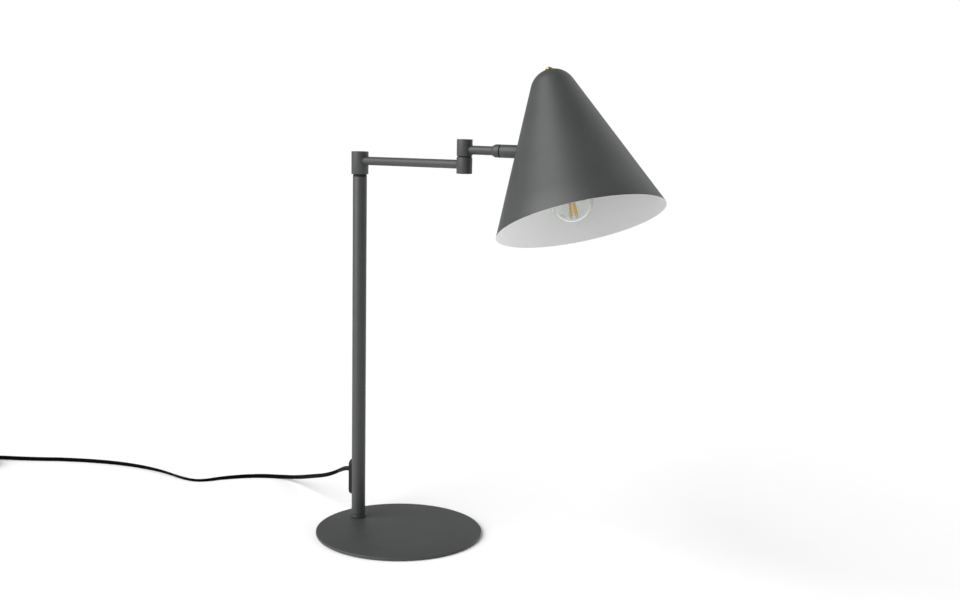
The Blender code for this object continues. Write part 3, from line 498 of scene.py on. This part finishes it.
def make_switch(look):
    """Oblong outlet housing let into the back of the pole, with its rocker."""
    width, height, rocker_middle = mm(12.6), mm(43), mm(-7)
    inner, face = mm(4.8), mm(10.3)
    deselect_all()
    low_end = -(height - width) / 2
    bpy.ops.mesh.primitive_cylinder_add(vertices=48, radius=width / 2, depth=face - inner,
                                        location=(0, low_end, (face - inner) / 2))
    housing = settle(named("outlet_housing"))
    bpy.ops.object.mode_set(mode="EDIT")
    bpy.ops.mesh.select_mode(type="VERT")
    bpy.ops.mesh.select_all(action="DESELECT")
    bpy.ops.object.mode_set(mode="OBJECT")
    for vertex in housing.data.vertices:
        vertex.select = vertex.co.y > low_end + mm(0.01)
    bpy.ops.object.mode_set(mode="EDIT")
    bpy.ops.transform.translate(value=(0, height - width, 0))
    bpy.ops.object.mode_set(mode="OBJECT")
    settle(housing, switch_face(inner))
    saddle = turned("saddle", disc(POLE_RADIUS + mm(0.05), 0, mm(120)),
                    Matrix.Translation(POLE), 96)
    cut_away(housing, saddle)
    well = block("well", (0, rocker_middle, 0), (mm(7.6), mm(19), mm(8)))
    cut_away(housing, settle(well, switch_face(face)))
    smoothed(softened(housing, mm(0.5), 3, 40))
    worn(housing, "stand", look["black"], "black_plastic", "switch_housing")

    rocker = block("rocker", (0, 0, mm(0.15)), (mm(6.8), mm(18), mm(2.7)))
    bpy.ops.object.mode_set(mode="EDIT")
    bpy.ops.mesh.select_all(action="SELECT")
    bpy.ops.mesh.bisect(plane_co=(0, 0, 0), plane_no=(0, 1, 0))
    bpy.ops.object.mode_set(mode="OBJECT")
    for vertex in rocker.data.vertices:
        if vertex.co.z > 0 and abs(vertex.co.y) > mm(1):
            vertex.co.z += mm(0.78)
    hinge = (switch_face(face - mm(1.5)) @ Matrix.Translation((0, rocker_middle, 0))
             @ Matrix.Rotation(math.radians(5), 4, "X"))
    settle(rocker, hinge)
    smoothed(softened(rocker, mm(0.3), 3, 20))
    worn(rocker, "rocker", look["black"], "black_plastic", "switch_rocker")


# ---------------------------------------------------------------- arms

def arm_1_frame():
    """Origin on the pole's axis at arm 1's height, local X along arm 1."""
    return Matrix.Translation(POLE + Vector((0, 0, ARM_1_HEIGHT))) @ Matrix.Rotation(
        ARM_1_YAW, 4, "Z")


def arm_2_frame():
    """Origin on the elbow's axis at arm 2's height, local X along arm 2."""
    reach = arm_1_frame() @ Vector((ARM_1_LENGTH, 0, 0))
    reach.z = ARM_2_HEIGHT
    return Matrix.Translation(reach) @ Matrix.Rotation(ARM_2_YAW, 4, "Z")


def barrel(name, radius, low, high, place, look, body, node, open_low=False):
    """A turned barrel with a flange at one end and a seat for its cap at the other."""
    seat, inside, floor = radius - mm(0.9), radius - mm(1.6), mm(2.4)
    bore = mm(3.8) if radius < mm(9) else mm(4.8)
    closed, end, way = (high, low, -1) if open_low else (low, high, 1)
    shell = turned(name, [
        (bore, closed), (radius, closed), (radius, end), (seat, end),
        (seat, end - way * mm(2.3)), (inside, end - way * mm(2.3)),
        (inside, closed + way * floor), (bore, closed + way * floor), (bore, closed)],
        place, 96)
    smoothed(softened(shell, mm(0.35)))
    worn(shell, body, look["coat"], "coat", node)


def cap(name, radius, end, way, place, look, body, node):
    """The flush cap of a barrel."""
    far = end - way * mm(2)
    lid = turned(name, disc(radius - mm(1.2), min(end, far), max(end, far)), place, 72)
    smoothed(softened(lid, mm(0.2)))
    worn(lid, body, look["coat"], "coat", node)


def make_arms(look):
    """Collar and its cap, both tubes, the elbow's two barrels, and the shade's ferrule."""
    first, second = arm_1_frame(), arm_2_frame()
    low = COLLAR_BOTTOM - ARM_1_HEIGHT
    barrel("collar", COLLAR_RADIUS, low, low + COLLAR_HEIGHT, first, look, "arm_1",
           "arm_1_collar")
    cap("collar_cap", COLLAR_RADIUS, low + COLLAR_HEIGHT, 1, first, look, "arm_1",
        "arm_1_collar_cap")
    half = ARM_1_LENGTH / 2
    rod = turned("arm_1_rod", pipe(ARM_BORE, ARM_RADIUS, mm(7.2) - half, half - mm(6.4)),
                 first @ Matrix.Translation((half, 0, 0)) @ Matrix.Rotation(-ARM_1_RISE, 4, "Y")
                 @ along_x(), 72)
    worn(smoothed(rod), "arm_1", look["coat"], "coat", "arm_1_tube")
    elbow = first @ Matrix.Translation((ARM_1_LENGTH, 0, 0))
    top = ELBOW_LINE - ARM_1_HEIGHT
    barrel("elbow_lower", BARREL_RADIUS, top - BARREL_HEIGHT, top, elbow, look, "arm_1",
           "elbow_lower_barrel", True)
    cap("elbow_underside", BARREL_RADIUS, top - BARREL_HEIGHT, -1, elbow, look, "arm_1",
        "elbow_lower_cap")
    low = ELBOW_LINE + ELBOW_GAP - ARM_2_HEIGHT
    barrel("elbow_upper", BARREL_RADIUS, low, low + BARREL_HEIGHT, second, look, "arm_2",
           "elbow_upper_barrel")
    cap("elbow_top", BARREL_RADIUS, low + BARREL_HEIGHT, 1, second, look, "arm_2",
        "elbow_upper_cap")
    rod = turned("arm_2_rod", pipe(ARM_BORE, ARM_RADIUS, mm(6.4), mm(36.8)),
                 second @ along_x(), 72)
    worn(smoothed(rod), "arm_2", look["coat"], "coat", "arm_2_tube")
    ferrule = turned("swivel_ferrule", [
        (mm(3.8), mm(37.1)), (mm(5.05), mm(37.1)), (mm(5.05), mm(34.1)), (mm(5.5), mm(34.1)),
        (SWIVEL_RADIUS, mm(37.4)), (SWIVEL_RADIUS, mm(43.1)), (mm(3.8), mm(43.1)),
        (mm(3.8), mm(37.1))], second @ along_x(), 72)
    smoothed(softened(ferrule, mm(0.3)), 24)
    worn(ferrule, "arm_2", look["coat"], "coat", "swivel_adapter")


# ---------------------------------------------------------------- shade

def shade_frame():
    """Local Z up the shade's axis, zero where the swivel's axis crosses it."""
    return (arm_2_frame() @ Matrix.Translation((ARM_2_LENGTH, 0, 0))
            @ Matrix.Rotation(math.radians(-12.3), 4, "X")
            @ Matrix.Rotation(math.radians(-19.5), 4, "Y"))


def hung_frame():
    """Origin on top of the shade, local Z up, nearer to plumb than the shade by its sag."""
    axis = shade_frame()
    tip = axis @ Vector((0, 0, SHADE_TOP))
    down = -(axis.to_3x3() @ Vector((0, 0, 1)))
    toward = down.cross(Vector((0, 0, -1))).normalized()
    return (Matrix.Translation(tip) @ Matrix.Rotation(HOLDER_SAG, 4, toward)
            @ Matrix.Translation(-tip) @ axis @ Matrix.Translation((0, 0, SHADE_TOP)))


def cone_outline(shrink):
    """Half outline of the cone and its round top, from the rim up, moved inwards."""
    run = SHADE_RADIUS / math.tan(SHADE_SLOPE) - (SHADE_TOP - SHADE_RIM)
    dome = run * math.sin(SHADE_SLOPE) / (1 - math.sin(SHADE_SLOPE))
    middle = SHADE_TOP - dome
    points = []
    for k in range(6):
        height = SHADE_RIM + (middle + dome * math.sin(SHADE_SLOPE) - SHADE_RIM) * k / 6
        radius = SHADE_RADIUS - (height - SHADE_RIM) * math.tan(SHADE_SLOPE)
        points.append((radius - shrink / math.cos(SHADE_SLOPE), height))
    steps = 14
    for k in range(steps + 1):
        angle = SHADE_SLOPE + (math.pi / 2 - SHADE_SLOPE) * k / steps
        points.append(((dome - shrink) * math.cos(angle),
                       middle + (dome - shrink) * math.sin(angle)))
    points[-1] = (0, points[-1][1])
    return points


def make_shade(look):
    """Spun cone, coated outside and enamelled white inside, and its swivel sleeve."""
    axis = shade_frame()
    outer = cone_outline(0)
    inner = cone_outline(SHADE_WALL)
    shell = turned("shade_cone", [*reversed(inner), *outer], Matrix(), 192)
    softened(shell, mm(0.3), 3, 50)
    run = SHADE_RADIUS / math.tan(SHADE_SLOPE) - (SHADE_TOP - SHADE_RIM)
    middle = SHADE_TOP - run * math.sin(SHADE_SLOPE) / (1 - math.sin(SHADE_SLOPE))
    lined = []
    for face in shell.data.polygons:
        spot = face.center - Vector((0, 0, min(face.center.z, middle)))
        lined.append(int(face.normal.dot(spot) < 0 or face.normal.z < -0.9))
    smoothed(settle(shell, axis), 30)
    worn(shell, "shade", look["coat"], "shade_coat", "shade_shell")
    shell.data.materials.append(look["lining"])
    shell.data.polygons.foreach_set("material_index", lined)

    second = arm_2_frame()
    sleeve = turned("swivel_sleeve", pipe(mm(3.8), SWIVEL_RADIUS, mm(44.3), mm(86)),
                    second @ along_x(), 72)
    tool = turned("cone_tool", [(0, SHADE_RIM - mm(2)), (SHADE_RADIUS + mm(1.1), SHADE_RIM
                  - mm(2)), *[(r + mm(0.05), h) for r, h in outer[1:8]],
                  (0, outer[7][1])], axis, 192)
    cut_away(sleeve, tool)
    smoothed(softened(sleeve, mm(0.25), 2, 50))
    worn(sleeve, "shade", look["coat"], "coat", "shade_sleeve")


def make_holder(look):
    """Brass nut and screw on top, and the stem and lampholder that hang inside."""
    hung = hung_frame()
    nut = turned("apex_finial", [
        (mm(1.7), mm(0.55)), (mm(4.1), mm(0.55)), (mm(4.1), mm(1.7)), (mm(3.2), mm(2.3)),
        (mm(1.7), mm(2.3)), (mm(1.7), mm(0.55))], hung, 48)
    smoothed(softened(nut, mm(0.25)))
    worn(nut, "shade", look["brass"], "brass", "apex_nut")
    screw = turned("apex_pin", [
        (0, mm(-9.7)), (mm(1.4), mm(-9.7)), (mm(1.4), mm(3.2)), (mm(1.0), mm(3.6)),
        (0, mm(3.6))], hung, 32)
    worn(smoothed(screw), "shade", look["iron"], "steel", "apex_screw")

    contact = mm(-84.5)
    mouth = contact - mm(20)
    top = mouth + mm(48)
    stem = turned("stem", [
        (0, top + mm(0.3)), (mm(5), top + mm(0.3)), (mm(5), top + mm(8)),
        (mm(4.4), top + mm(8.6)), (mm(4.4), mm(-8)), (mm(5), mm(-7.4)), (mm(5), mm(-2.1)),
        (mm(1.75), mm(-2.1)), (mm(1.75), mm(-10.3)), (0, mm(-10.3))], hung, 48)
    smoothed(softened(stem, mm(0.2), 2))
    worn(stem, "shade", look["zinc"], "steel", "holder_stem")

    split = top - mm(14)
    hood = turned("holder_hood", [
        (0, top), (mm(5.4), top), (mm(7.5), top - mm(1.6)), (mm(11.8), top - mm(7.4)),
        (mm(13.5), top - mm(10.6)), (mm(13.5), split + mm(0.1)), (mm(11.5), split + mm(0.1)),
        (mm(11.5), split + mm(3)), (mm(5), top - mm(2)), (0, top - mm(2))], hung, 96)
    smoothed(softened(hood, mm(0.3)), 24)
    worn(hood, "shade", look["holder"], "black_plastic", "lampholder_cap")

    rim = mm(13.5)
    rows = [(0, split - mm(0.4)), (rim, split - mm(0.4)), (rim, split - mm(4)),
            (rim - mm(0.7), split - mm(4.4)), (rim - mm(0.7), split - mm(5.4)),
            (rim, split - mm(5.8)), (rim, split - mm(26)), (rim - mm(0.7), split - mm(26.4)),
            (rim - mm(0.7), split - mm(27.4)), (rim, split - mm(27.8)), (rim, mouth),
            (mm(7.5), mouth), (mm(7.5), contact + mm(0.4)), (0, contact + mm(0.4))]
    body = turned("holder_skirt", rows, Matrix(), 96)
    bpy.ops.object.mode_set(mode="EDIT")
    step = 2 * math.pi / 96

    def grip(centre, normal):
        """Every other facet of the skirt's long plain stretch."""
        turn = math.floor((math.atan2(centre.y, centre.x) + math.pi) / step)
        side = abs(normal.z) < 0.1 and math.hypot(centre.x, centre.y) > mm(13)
        return side and split - mm(25.9) < centre.z < split - mm(5.9) and turn % 4 < 2
    select_where(body, grip)
    bpy.ops.mesh.inset(thickness=mm(0.18), depth=mm(-0.35), use_individual=False)
    bpy.ops.object.mode_set(mode="OBJECT")
    settle(body, hung)
    smoothed(softened(body, mm(0.12), 2, 40), 30)
    worn(body, "shade", look["holder"], "black_plastic", "lampholder_body")


def make_bulb(look):
    """Screw cap, clear ball, glass mount, light strips and the wires that carry them."""
    hung = hung_frame()
    contact, ball, radius = mm(-84.5), mm(-138), mm(22.5)
    cap_low = contact - mm(21)
    thread = [(0, contact), (mm(3), contact), (mm(5.4), contact - mm(2.4)),
              (mm(6.1), contact - mm(4))]
    for k in range(5):
        crest = contact - mm(5.4 + 2.82 * k)
        thread += [(mm(6.85), crest), (mm(6.3), crest - mm(1.41))]
    thread += [(mm(6.7), cap_low + mm(1.6)), (mm(6.9), cap_low), (mm(6.4), cap_low),
               (mm(6.0), contact - mm(6)), (0, contact - mm(6))]
    screw = turned("bulb_screw", thread, hung, 64)
    worn(smoothed(screw, 50), "shade", look["nickel"], "nickel", "bulb_cap")

    neck, steps = mm(6.1), 32
    meet = math.asin(mm(8.2) / radius)

    def envelope(shrink):
        """Half outline of the glass, from its neck down to the bottom of the ball."""
        points = [(neck - shrink, cap_low + mm(6)), (neck - shrink, cap_low),
                  (mm(6.6) - shrink, cap_low - mm(4.2)), (mm(7.2) - shrink, cap_low - mm(7.2))]
        for k in range(steps):
            angle = meet + (math.pi - meet) * k / steps
            points.append(((radius - shrink) * math.sin(angle),
                           ball + (radius - shrink) * math.cos(angle)))
        return points + [(0, ball - radius + shrink)]
    inside, outside = envelope(mm(0.7)), envelope(0)
    bulb = turned("bulb_ball", [*reversed(inside), *outside], hung, 96)
    worn(smoothed(bulb, 60), "shade", look["glass"], "clear_glass", "bulb_glass")

    top, low = cap_low + mm(7), ball + mm(15)
    mount = turned("glass_mount", [
        (0, top), (mm(5.1), top), (mm(5.1), top - mm(1)), (mm(3.4), top - mm(6)),
        (mm(2.3), cap_low - mm(3)), (mm(1.9), low + mm(2)), (mm(2.2), low + mm(0.6)),
        (mm(1.4), low), (0, low)], hung, 40)
    worn(smoothed(mount, 60), "shade", look["glass"], "clear_glass", "bulb_mount")

    wires = []
    for k in range(4):
        turn = Matrix.Rotation(math.pi / 2 * k - math.radians(5), 4, "Z") @ Matrix.Translation(
            (mm(2.9), 0, ball - mm(3.4))) @ Matrix.Rotation(math.radians(-6), 4, "Y")
        strip = turned(f"light_strip_{k + 1}", [
            (0, mm(-12.6)), (mm(0.6), mm(-12.6)), (mm(0.85), mm(-12.2)),
            (mm(0.85), mm(12.2)), (mm(0.6), mm(12.6)), (0, mm(12.6))], hung @ turn, 20)
        worn(smoothed(strip, 50), "shade", look["phosphor"], "filament",
             f"bulb_filament_{k + 1}")
        foot = turn @ Vector((0, 0, mm(-12.4)))
        head = turn @ Vector((0, 0, mm(12.4)))
        wires.append((foot, head))
    for k in range(2):
        a, b = wires[2 * k][0], wires[2 * k + 1][0]
        dip = (a + b) / 2 + Vector((0, 0, mm(-3.2)))
        bow = thin_wire(f"strip_bow_{k + 1}", [a, a + Vector((0, 0, mm(-1.6))), dip,
                        b + Vector((0, 0, mm(-1.6))), b], mm(0.28), hung)
        worn(bow, "shade", look["iron"], "steel")
    for k in range(4):
        head = wires[k][1]
        root = Vector((head.x * 0.15, head.y * 0.15, ball + mm(15.8)))
        post = thin_wire(f"strip_post_{k + 1}", [head, head + Vector((0, 0, mm(1.2))), root],
                         mm(0.22), hung)
        worn(post, "shade", look["iron"], "steel")


def thin_wire(name, points, radius, place):
    """A bent wire as a closed mesh."""
    line = bpy.data.curves.new(name, "CURVE")
    line.dimensions = "3D"
    line.bevel_depth = radius
    line.bevel_resolution = 2
    line.use_fill_caps = True
    spline = line.splines.new("NURBS")
    spline.points.add(len(points) - 1)
    for spot, point in zip(spline.points, points):
        spot.co = (*(place @ point), 1)
    spline.use_endpoint_u = True
    spline.order_u = 3
    wire = bpy.data.objects.new(name, line)
    bpy.context.scene.collection.objects.link(wire)
    take(wire)
    bpy.ops.object.convert(target="MESH")
    return smoothed(bpy.context.object, 60)


# ---------------------------------------------------------------- cord

def curve_through(points, spacing):
    """Points a set distance apart along a smooth curve through the given ones, each with
    how far along the given ones it lies."""
    ends = [2 * points[0] - points[1], *points, 2 * points[-1] - points[-2]]
    dense = []
    for k in range(len(points) - 1):
        a, b, c, d = ends[k:k + 4]
        for j in range(30):
            t = j / 30
            dense.append((0.5 * (2 * b + (c - a) * t + (2 * a - 5 * b + 4 * c - d) * t * t
                                 + (3 * b - a - 3 * c + d) * t ** 3), k + t))
    dense.append((points[-1], len(points) - 1.0))
    kept, walked, last = [dense[0]], 0.0, dense[0][0]
    for spot, order in dense[1:]:
        walked += (spot - last).length
        last = spot
        if walked >= spacing:
            kept.append((spot, order))
            walked = 0.0
    if walked > spacing / 2:
        kept.append(dense[-1])
    else:
        kept[-1] = dense[-1]
    return kept


def cord_path():
    """The cord's middle line and its twist: laid stretch, coil and tail."""
    def heading(angle):
        """Directions ahead and to the right of a heading."""
        return (Vector((math.cos(angle), math.sin(angle), 0)),
                Vector((math.sin(angle), -math.cos(angle), 0)))
    outer = mm(33.8)
    ahead, outwards = heading(COIL_ENTRY)
    gate = COIL_CENTRE + outwards * outer - ahead * COIL_GATE
    gate.z = mm(3.5)
    laid = [Vector(point) for point in CORD_ROUTE] + [gate - ahead * mm(4), gate]
    twists = [math.radians(t) for t in CORD_TWIST] + [math.pi, math.pi]
    line, lean = [], []
    for spot, order in curve_through(laid, mm(2.6)):
        k = min(int(order), len(twists) - 2)
        angle = twists[k] + (twists[k + 1] - twists[k]) * (order - k)
        drop = (CORD_WIDTH - CORD_THICK) / 2 * (1 - abs(math.cos(angle)))
        if order > 9:
            spot = spot - Vector((0, 0, drop * min(1, order - 9)))
        line.append(spot)
        lean.append(angle)
    start = COIL_ENTRY - math.pi / 2
    count = round(COIL_TURNS * 48)
    for k in range(count + 1):
        turn = COIL_TURNS * k / count
        if turn < 2:
            radius, rise = outer - mm(5.2) * turn, 0.0
        elif turn < 3:
            rise = turn - 2
            radius = mm(23.4) - mm(1.2) * math.sin(math.pi * rise)
            rise = rise * rise * (3 - 2 * rise)
        else:
            radius, rise = mm(23.4) + mm(10.4) * (turn - 3) / (COIL_TURNS - 3), 1.0
        angle = start + 2 * math.pi * turn
        line.append(COIL_CENTRE + Vector((radius * math.cos(angle), radius * math.sin(angle),
                                          mm(3.5) + mm(5.2) * rise)))
        lean.append(math.pi)
    ahead, outwards = heading(COIL_EXIT)
    leave = COIL_CENTRE + outwards * outer + ahead * COIL_GATE
    leave.z = mm(8.7)
    neck = leave + ahead * TAIL_LENGTH
    neck.z = PLUG_THICK / 2
    tail = [leave, leave + 0.3 * TAIL_LENGTH * ahead, neck - 0.2 * TAIL_LENGTH * ahead, neck]
    for spot, order in curve_through(tail, mm(2.6)):
        line.append(spot)
        lean.append(math.pi - math.pi / 2 * min(1, order / 3))
    return line, lean, neck


def flat_cord(name, line, lean):
    """Mesh of a flat lead with a shallow groove between its two cores."""
    half_gap, core = (CORD_WIDTH - CORD_THICK) / 2, CORD_THICK / 2
    section = []
    for k in range(20):
        angle = 2 * math.pi * k / 20
        wide = core * math.cos(angle) + half_gap * math.tanh(3 * math.cos(angle))
        groove = 1 - 0.14 * math.exp(-(wide / mm(0.5)) ** 2)
        section.append((wide, core * math.sin(angle) * groove))
    rings = []
    up = Vector((0, 0, 1))
    for k, spot in enumerate(line):
        ahead = (line[min(k + 1, len(line) - 1)] - line[max(k - 1, 0)]).normalized()
        rise = (up - up.dot(ahead) * ahead).normalized()
        wide = rise * math.cos(lean[k]) + ahead.cross(rise) * math.sin(lean[k])
        thin = ahead.cross(wide)
        rings.append([spot + wide * a + thin * b for a, b in section])
    return drawn_along(name, rings, 60)


def make_cord(look):
    """The lead, its tie and its plug."""
    line, lean, neck = cord_path()
    cord = flat_cord("supply_cord", line, lean)
    worn(cord, "stand", look["pvc"], "cord_pvc", "cord_run", "cord_coil", "cord_tail")

    turn = Matrix.Translation((neck.x, neck.y, 0)) @ Matrix.Rotation(COIL_EXIT, 4, "Z")
    plug = make_plug(look, turn)
    tie = make_tie(look)


def make_grip(look):
    """Tapered, ribbed strain relief between the housing and the cord."""
    route = [Vector((mm(-77.1), 0, mm(59.7))), Vector((mm(-81.1), 0, mm(59.7))),
             Vector((mm(-89), mm(-0.2), mm(58.3))), Vector((mm(-99), 0, mm(53.7)))]
    spots = [spot for spot, _ in curve_through(route, mm(0.45))]
    lean = math.radians(CORD_TWIST[0])
    sides, rings = 28, []
    for k, spot in enumerate(spots):
        ahead = (spots[min(k + 1, len(spots) - 1)] - spots[max(k - 1, 0)]).normalized()
        side = ahead.cross(Vector((0, 0, 1))).normalized()
        broad = side.cross(ahead) * math.cos(lean) + side * math.sin(lean)
        share = k / (len(spots) - 1)
        inset = mm(0.35) if 0.12 < share < 0.9 and k % 4 >= 2 else 0
        if k in (0, len(spots) - 1):
            inset = mm(0.2)
        wide = (mm(3.5) - mm(0.5) * share - inset) * broad
        thin = (mm(3.2) - mm(1.3) * share - inset) * ahead.cross(broad)
        turns = [2 * math.pi * j / sides for j in range(sides)]
        rings.append([spot + wide * math.cos(turn) + thin * math.sin(turn) for turn in turns])
    piece = drawn_along("strain_relief", rings, 40)
    worn(piece, "stand", look["black"], "black_plastic", "cord_grip")


def make_plug(look, lying):
    """Moulded two-pin plug with finger grips, lying flat, its pins half sleeved."""
    body = block("plug", (PLUG_LENGTH * 0.875, 0, PLUG_THICK / 2),
                 (PLUG_LENGTH * 0.25, PLUG_WIDTH, PLUG_THICK))
    bpy.ops.object.mode_set(mode="EDIT")
    select_where(body, lambda centre, normal: normal.x < -0.5)
    for back, share in ((0.40, 0.833), (0.25, 0.6), (0.10, 0.67)):
        bpy.ops.mesh.extrude_region_move(
            TRANSFORM_OT_translate={"value": (-PLUG_LENGTH * back, 0, 0)})
        bpy.ops.transform.resize(value=(1, share, 1 if back > 0.3 else 0.8),
                                 center_override=(0, 0, PLUG_THICK / 2))
    select_where(body, lambda centre, normal: abs(normal.z) > 0.9
                 and mm(8) < centre.x < PLUG_LENGTH * 0.7)
    bpy.ops.mesh.inset(thickness=mm(2.2), depth=mm(-0.8), use_individual=True)
    bpy.ops.object.mode_set(mode="OBJECT")
    softened(body, mm(1.5), 4, 25)
    settle(body, lying)
    smoothed(body, 40)
    worn(body, "stand", look["black"], "black_plastic", "plug_body")
    made = [body]
    for k, side in enumerate((-1, 1)):
        at = lying @ Matrix.Translation((PLUG_LENGTH + mm(0.1), side * mm(9.3),
                                         PLUG_THICK / 2)) @ Matrix.Rotation(math.pi / 2, 4, "Y")
        pin = turned(f"pin_{k + 1}", [(0, mm(9.5)), (mm(1.85), mm(9.5)), (mm(1.95), mm(9.7)),
                     (mm(1.95), mm(18)), (mm(1.3), mm(19.1)), (0, mm(19.2))], at, 32)
        worn(smoothed(pin), "stand", look["nickel"], "nickel", f"plug_pin_{k + 1}")
        sleeve = turned(f"pin_sleeve_{k + 1}", disc(mm(2.0), 0, mm(9.5)), at, 32)
        smoothed(softened(sleeve, mm(0.15), 2))
        worn(sleeve, "stand", look["black"], "black_plastic")
        made += [pin, sleeve]
    return made


def make_tie(look):
    """Flat strap closed round one side of the coil."""
    place = Matrix.Translation(COIL_CENTRE) @ Matrix.Rotation(math.radians(300), 4, "Z")
    near, far, top = mm(19.8), mm(37.0), mm(12.2)
    strap = block("cord_tie", ((near + far) / 2, 0, top / 2), (far - near, mm(8), top))
    bpy.ops.object.mode_set(mode="EDIT")
    select_where(strap, lambda centre, normal: abs(normal.y) > 0.5)
    bpy.ops.mesh.delete(type="FACE")
    bpy.ops.object.mode_set(mode="OBJECT")
    softened(strap, mm(1.2), 4, 60)
    wall = strap.modifiers.new("wall", "SOLIDIFY")
    wall.thickness = mm(0.6)
    wall.offset = -1
    apply_last(strap, wall)
    settle(strap, place)
    smoothed(strap, 40)
    return worn(strap, "stand", look["black"], "black_plastic", "coil_tie")


# ---------------------------------------------------------------- carried-over solids

def dress_solids(look):
    """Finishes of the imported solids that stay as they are."""
    wear = {
        "foam": ["base_pad"],
        "iron": ["pole_stud"],
        "zinc": ["foot_screw", "pole_spring_washer", "pole_nut", "elbow_stud",
                 "elbow_spring_washer", "elbow_nut", "swivel_stud", "swivel_spring_washer",
                 "swivel_nut"],
        "nylon": ["pole_thrust_washer", "elbow_thrust_washer", "swivel_thrust_washer"],
        "pvc": ["pole_lead", "arm_1_lead", "arm_2_lead", "shade_lead"],
    }
    for finish, nodes in wear.items():
        for node in nodes:
            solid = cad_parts[node]
            solid.data.materials.clear()
            solid.data.materials.append(look[finish])


# ---------------------------------------------------------------- room

def make_floor():
    """Wide floor of white paper."""
    deselect_all()
    bpy.ops.mesh.primitive_circle_add(vertices=96, radius=9, fill_type="NGON",
                                      location=(0, 0, 0))
    floor = named("floor")
    bpy.ops.object.mode_set(mode="EDIT")
    bpy.ops.mesh.select_all(action="SELECT")
    bpy.ops.mesh.inset(thickness=6)
    bpy.ops.object.mode_set(mode="OBJECT")
    made, tree, shader, place = new_finish("white_paper", Roughness=0.9)
    fibre = add_node(tree, "TexNoise", {"Vector": place, "Scale": 1 / mm(60),
                                        "Detail": 2.0}).outputs[0]
    tone(tree, shader, fibre, "FAFAFA", "FDFDFD")
    floor.data.materials.append(made)


def make_surroundings():
    """A white studio that gives less light than it looks, and the least from overhead."""
    world = bpy.data.worlds.new("surroundings")
    world.use_nodes = True
    tree = world.node_tree
    walls = tree.nodes["Background"]
    walls.inputs["Color"].default_value = (1, 1, 1, 1)
    aim = add_node(tree, "TexCoord", {}).outputs["Generated"]
    height = add_node(tree, "SeparateXYZ", {0: aim}).outputs["Z"]
    glow = add_node(tree, "MapRange", {"Value": height, "To Min": 0.45, "To Max": 0.2}).outputs[0]
    backdrop = add_node(tree, "LightPath", {}).outputs["Is Camera Ray"]
    seen = add_node(tree, "Math", {0: glow, 1: backdrop}, operation="MAXIMUM").outputs[0]
    tree.links.new(seen, walls.inputs["Strength"])
    bpy.context.scene.world = world
    bpy.context.scene.view_settings.view_transform = "Standard"


def add_light(kind, name, place, toward, **settings):
    """A light at a place, with its back toward a direction."""
    light = bpy.data.lights.new(name, kind)
    for key, value in settings.items():
        setattr(light, key, value)
    carrier = bpy.data.objects.new(name, light)
    bpy.context.scene.collection.objects.link(carrier)
    carrier.matrix_world = Matrix.Translation(place) @ Vector(toward).to_track_quat(
        "Z", "Y").to_matrix().to_4x4()
    return carrier


def make_lights():
    """A wide soft light from the left, a weak one from behind, and a little light up into
    the shade."""
    add_light("SUN", "key", (0, 0, 0), (-0.375, -0.926, 0.7), angle=math.radians(62), energy=3.8)
    add_light("SUN", "side", (0, 0, 0), (0.21, 0.98, 0.6), angle=math.radians(60), energy=0.6)
    spot, mark = Vector((1.05, 0.55, 0.1)), Vector((0.2, 0, 0.39))
    low = add_light("SPOT", "low", spot, spot - mark, energy=16, spot_size=math.radians(24),
                    spot_blend=0.7, shadow_soft_size=0.15)
    low.visible_glossy = False
    low.visible_transmission = False


set_camera()
look = make_finishes()
make_cord(look)
make_grip(look)
make_base(look)
make_pole(look)
make_switch(look)
make_arms(look)
make_shade(look)
make_holder(look)
make_bulb(look)
dress_solids(look)
make_floor()
make_surroundings()
make_lights()
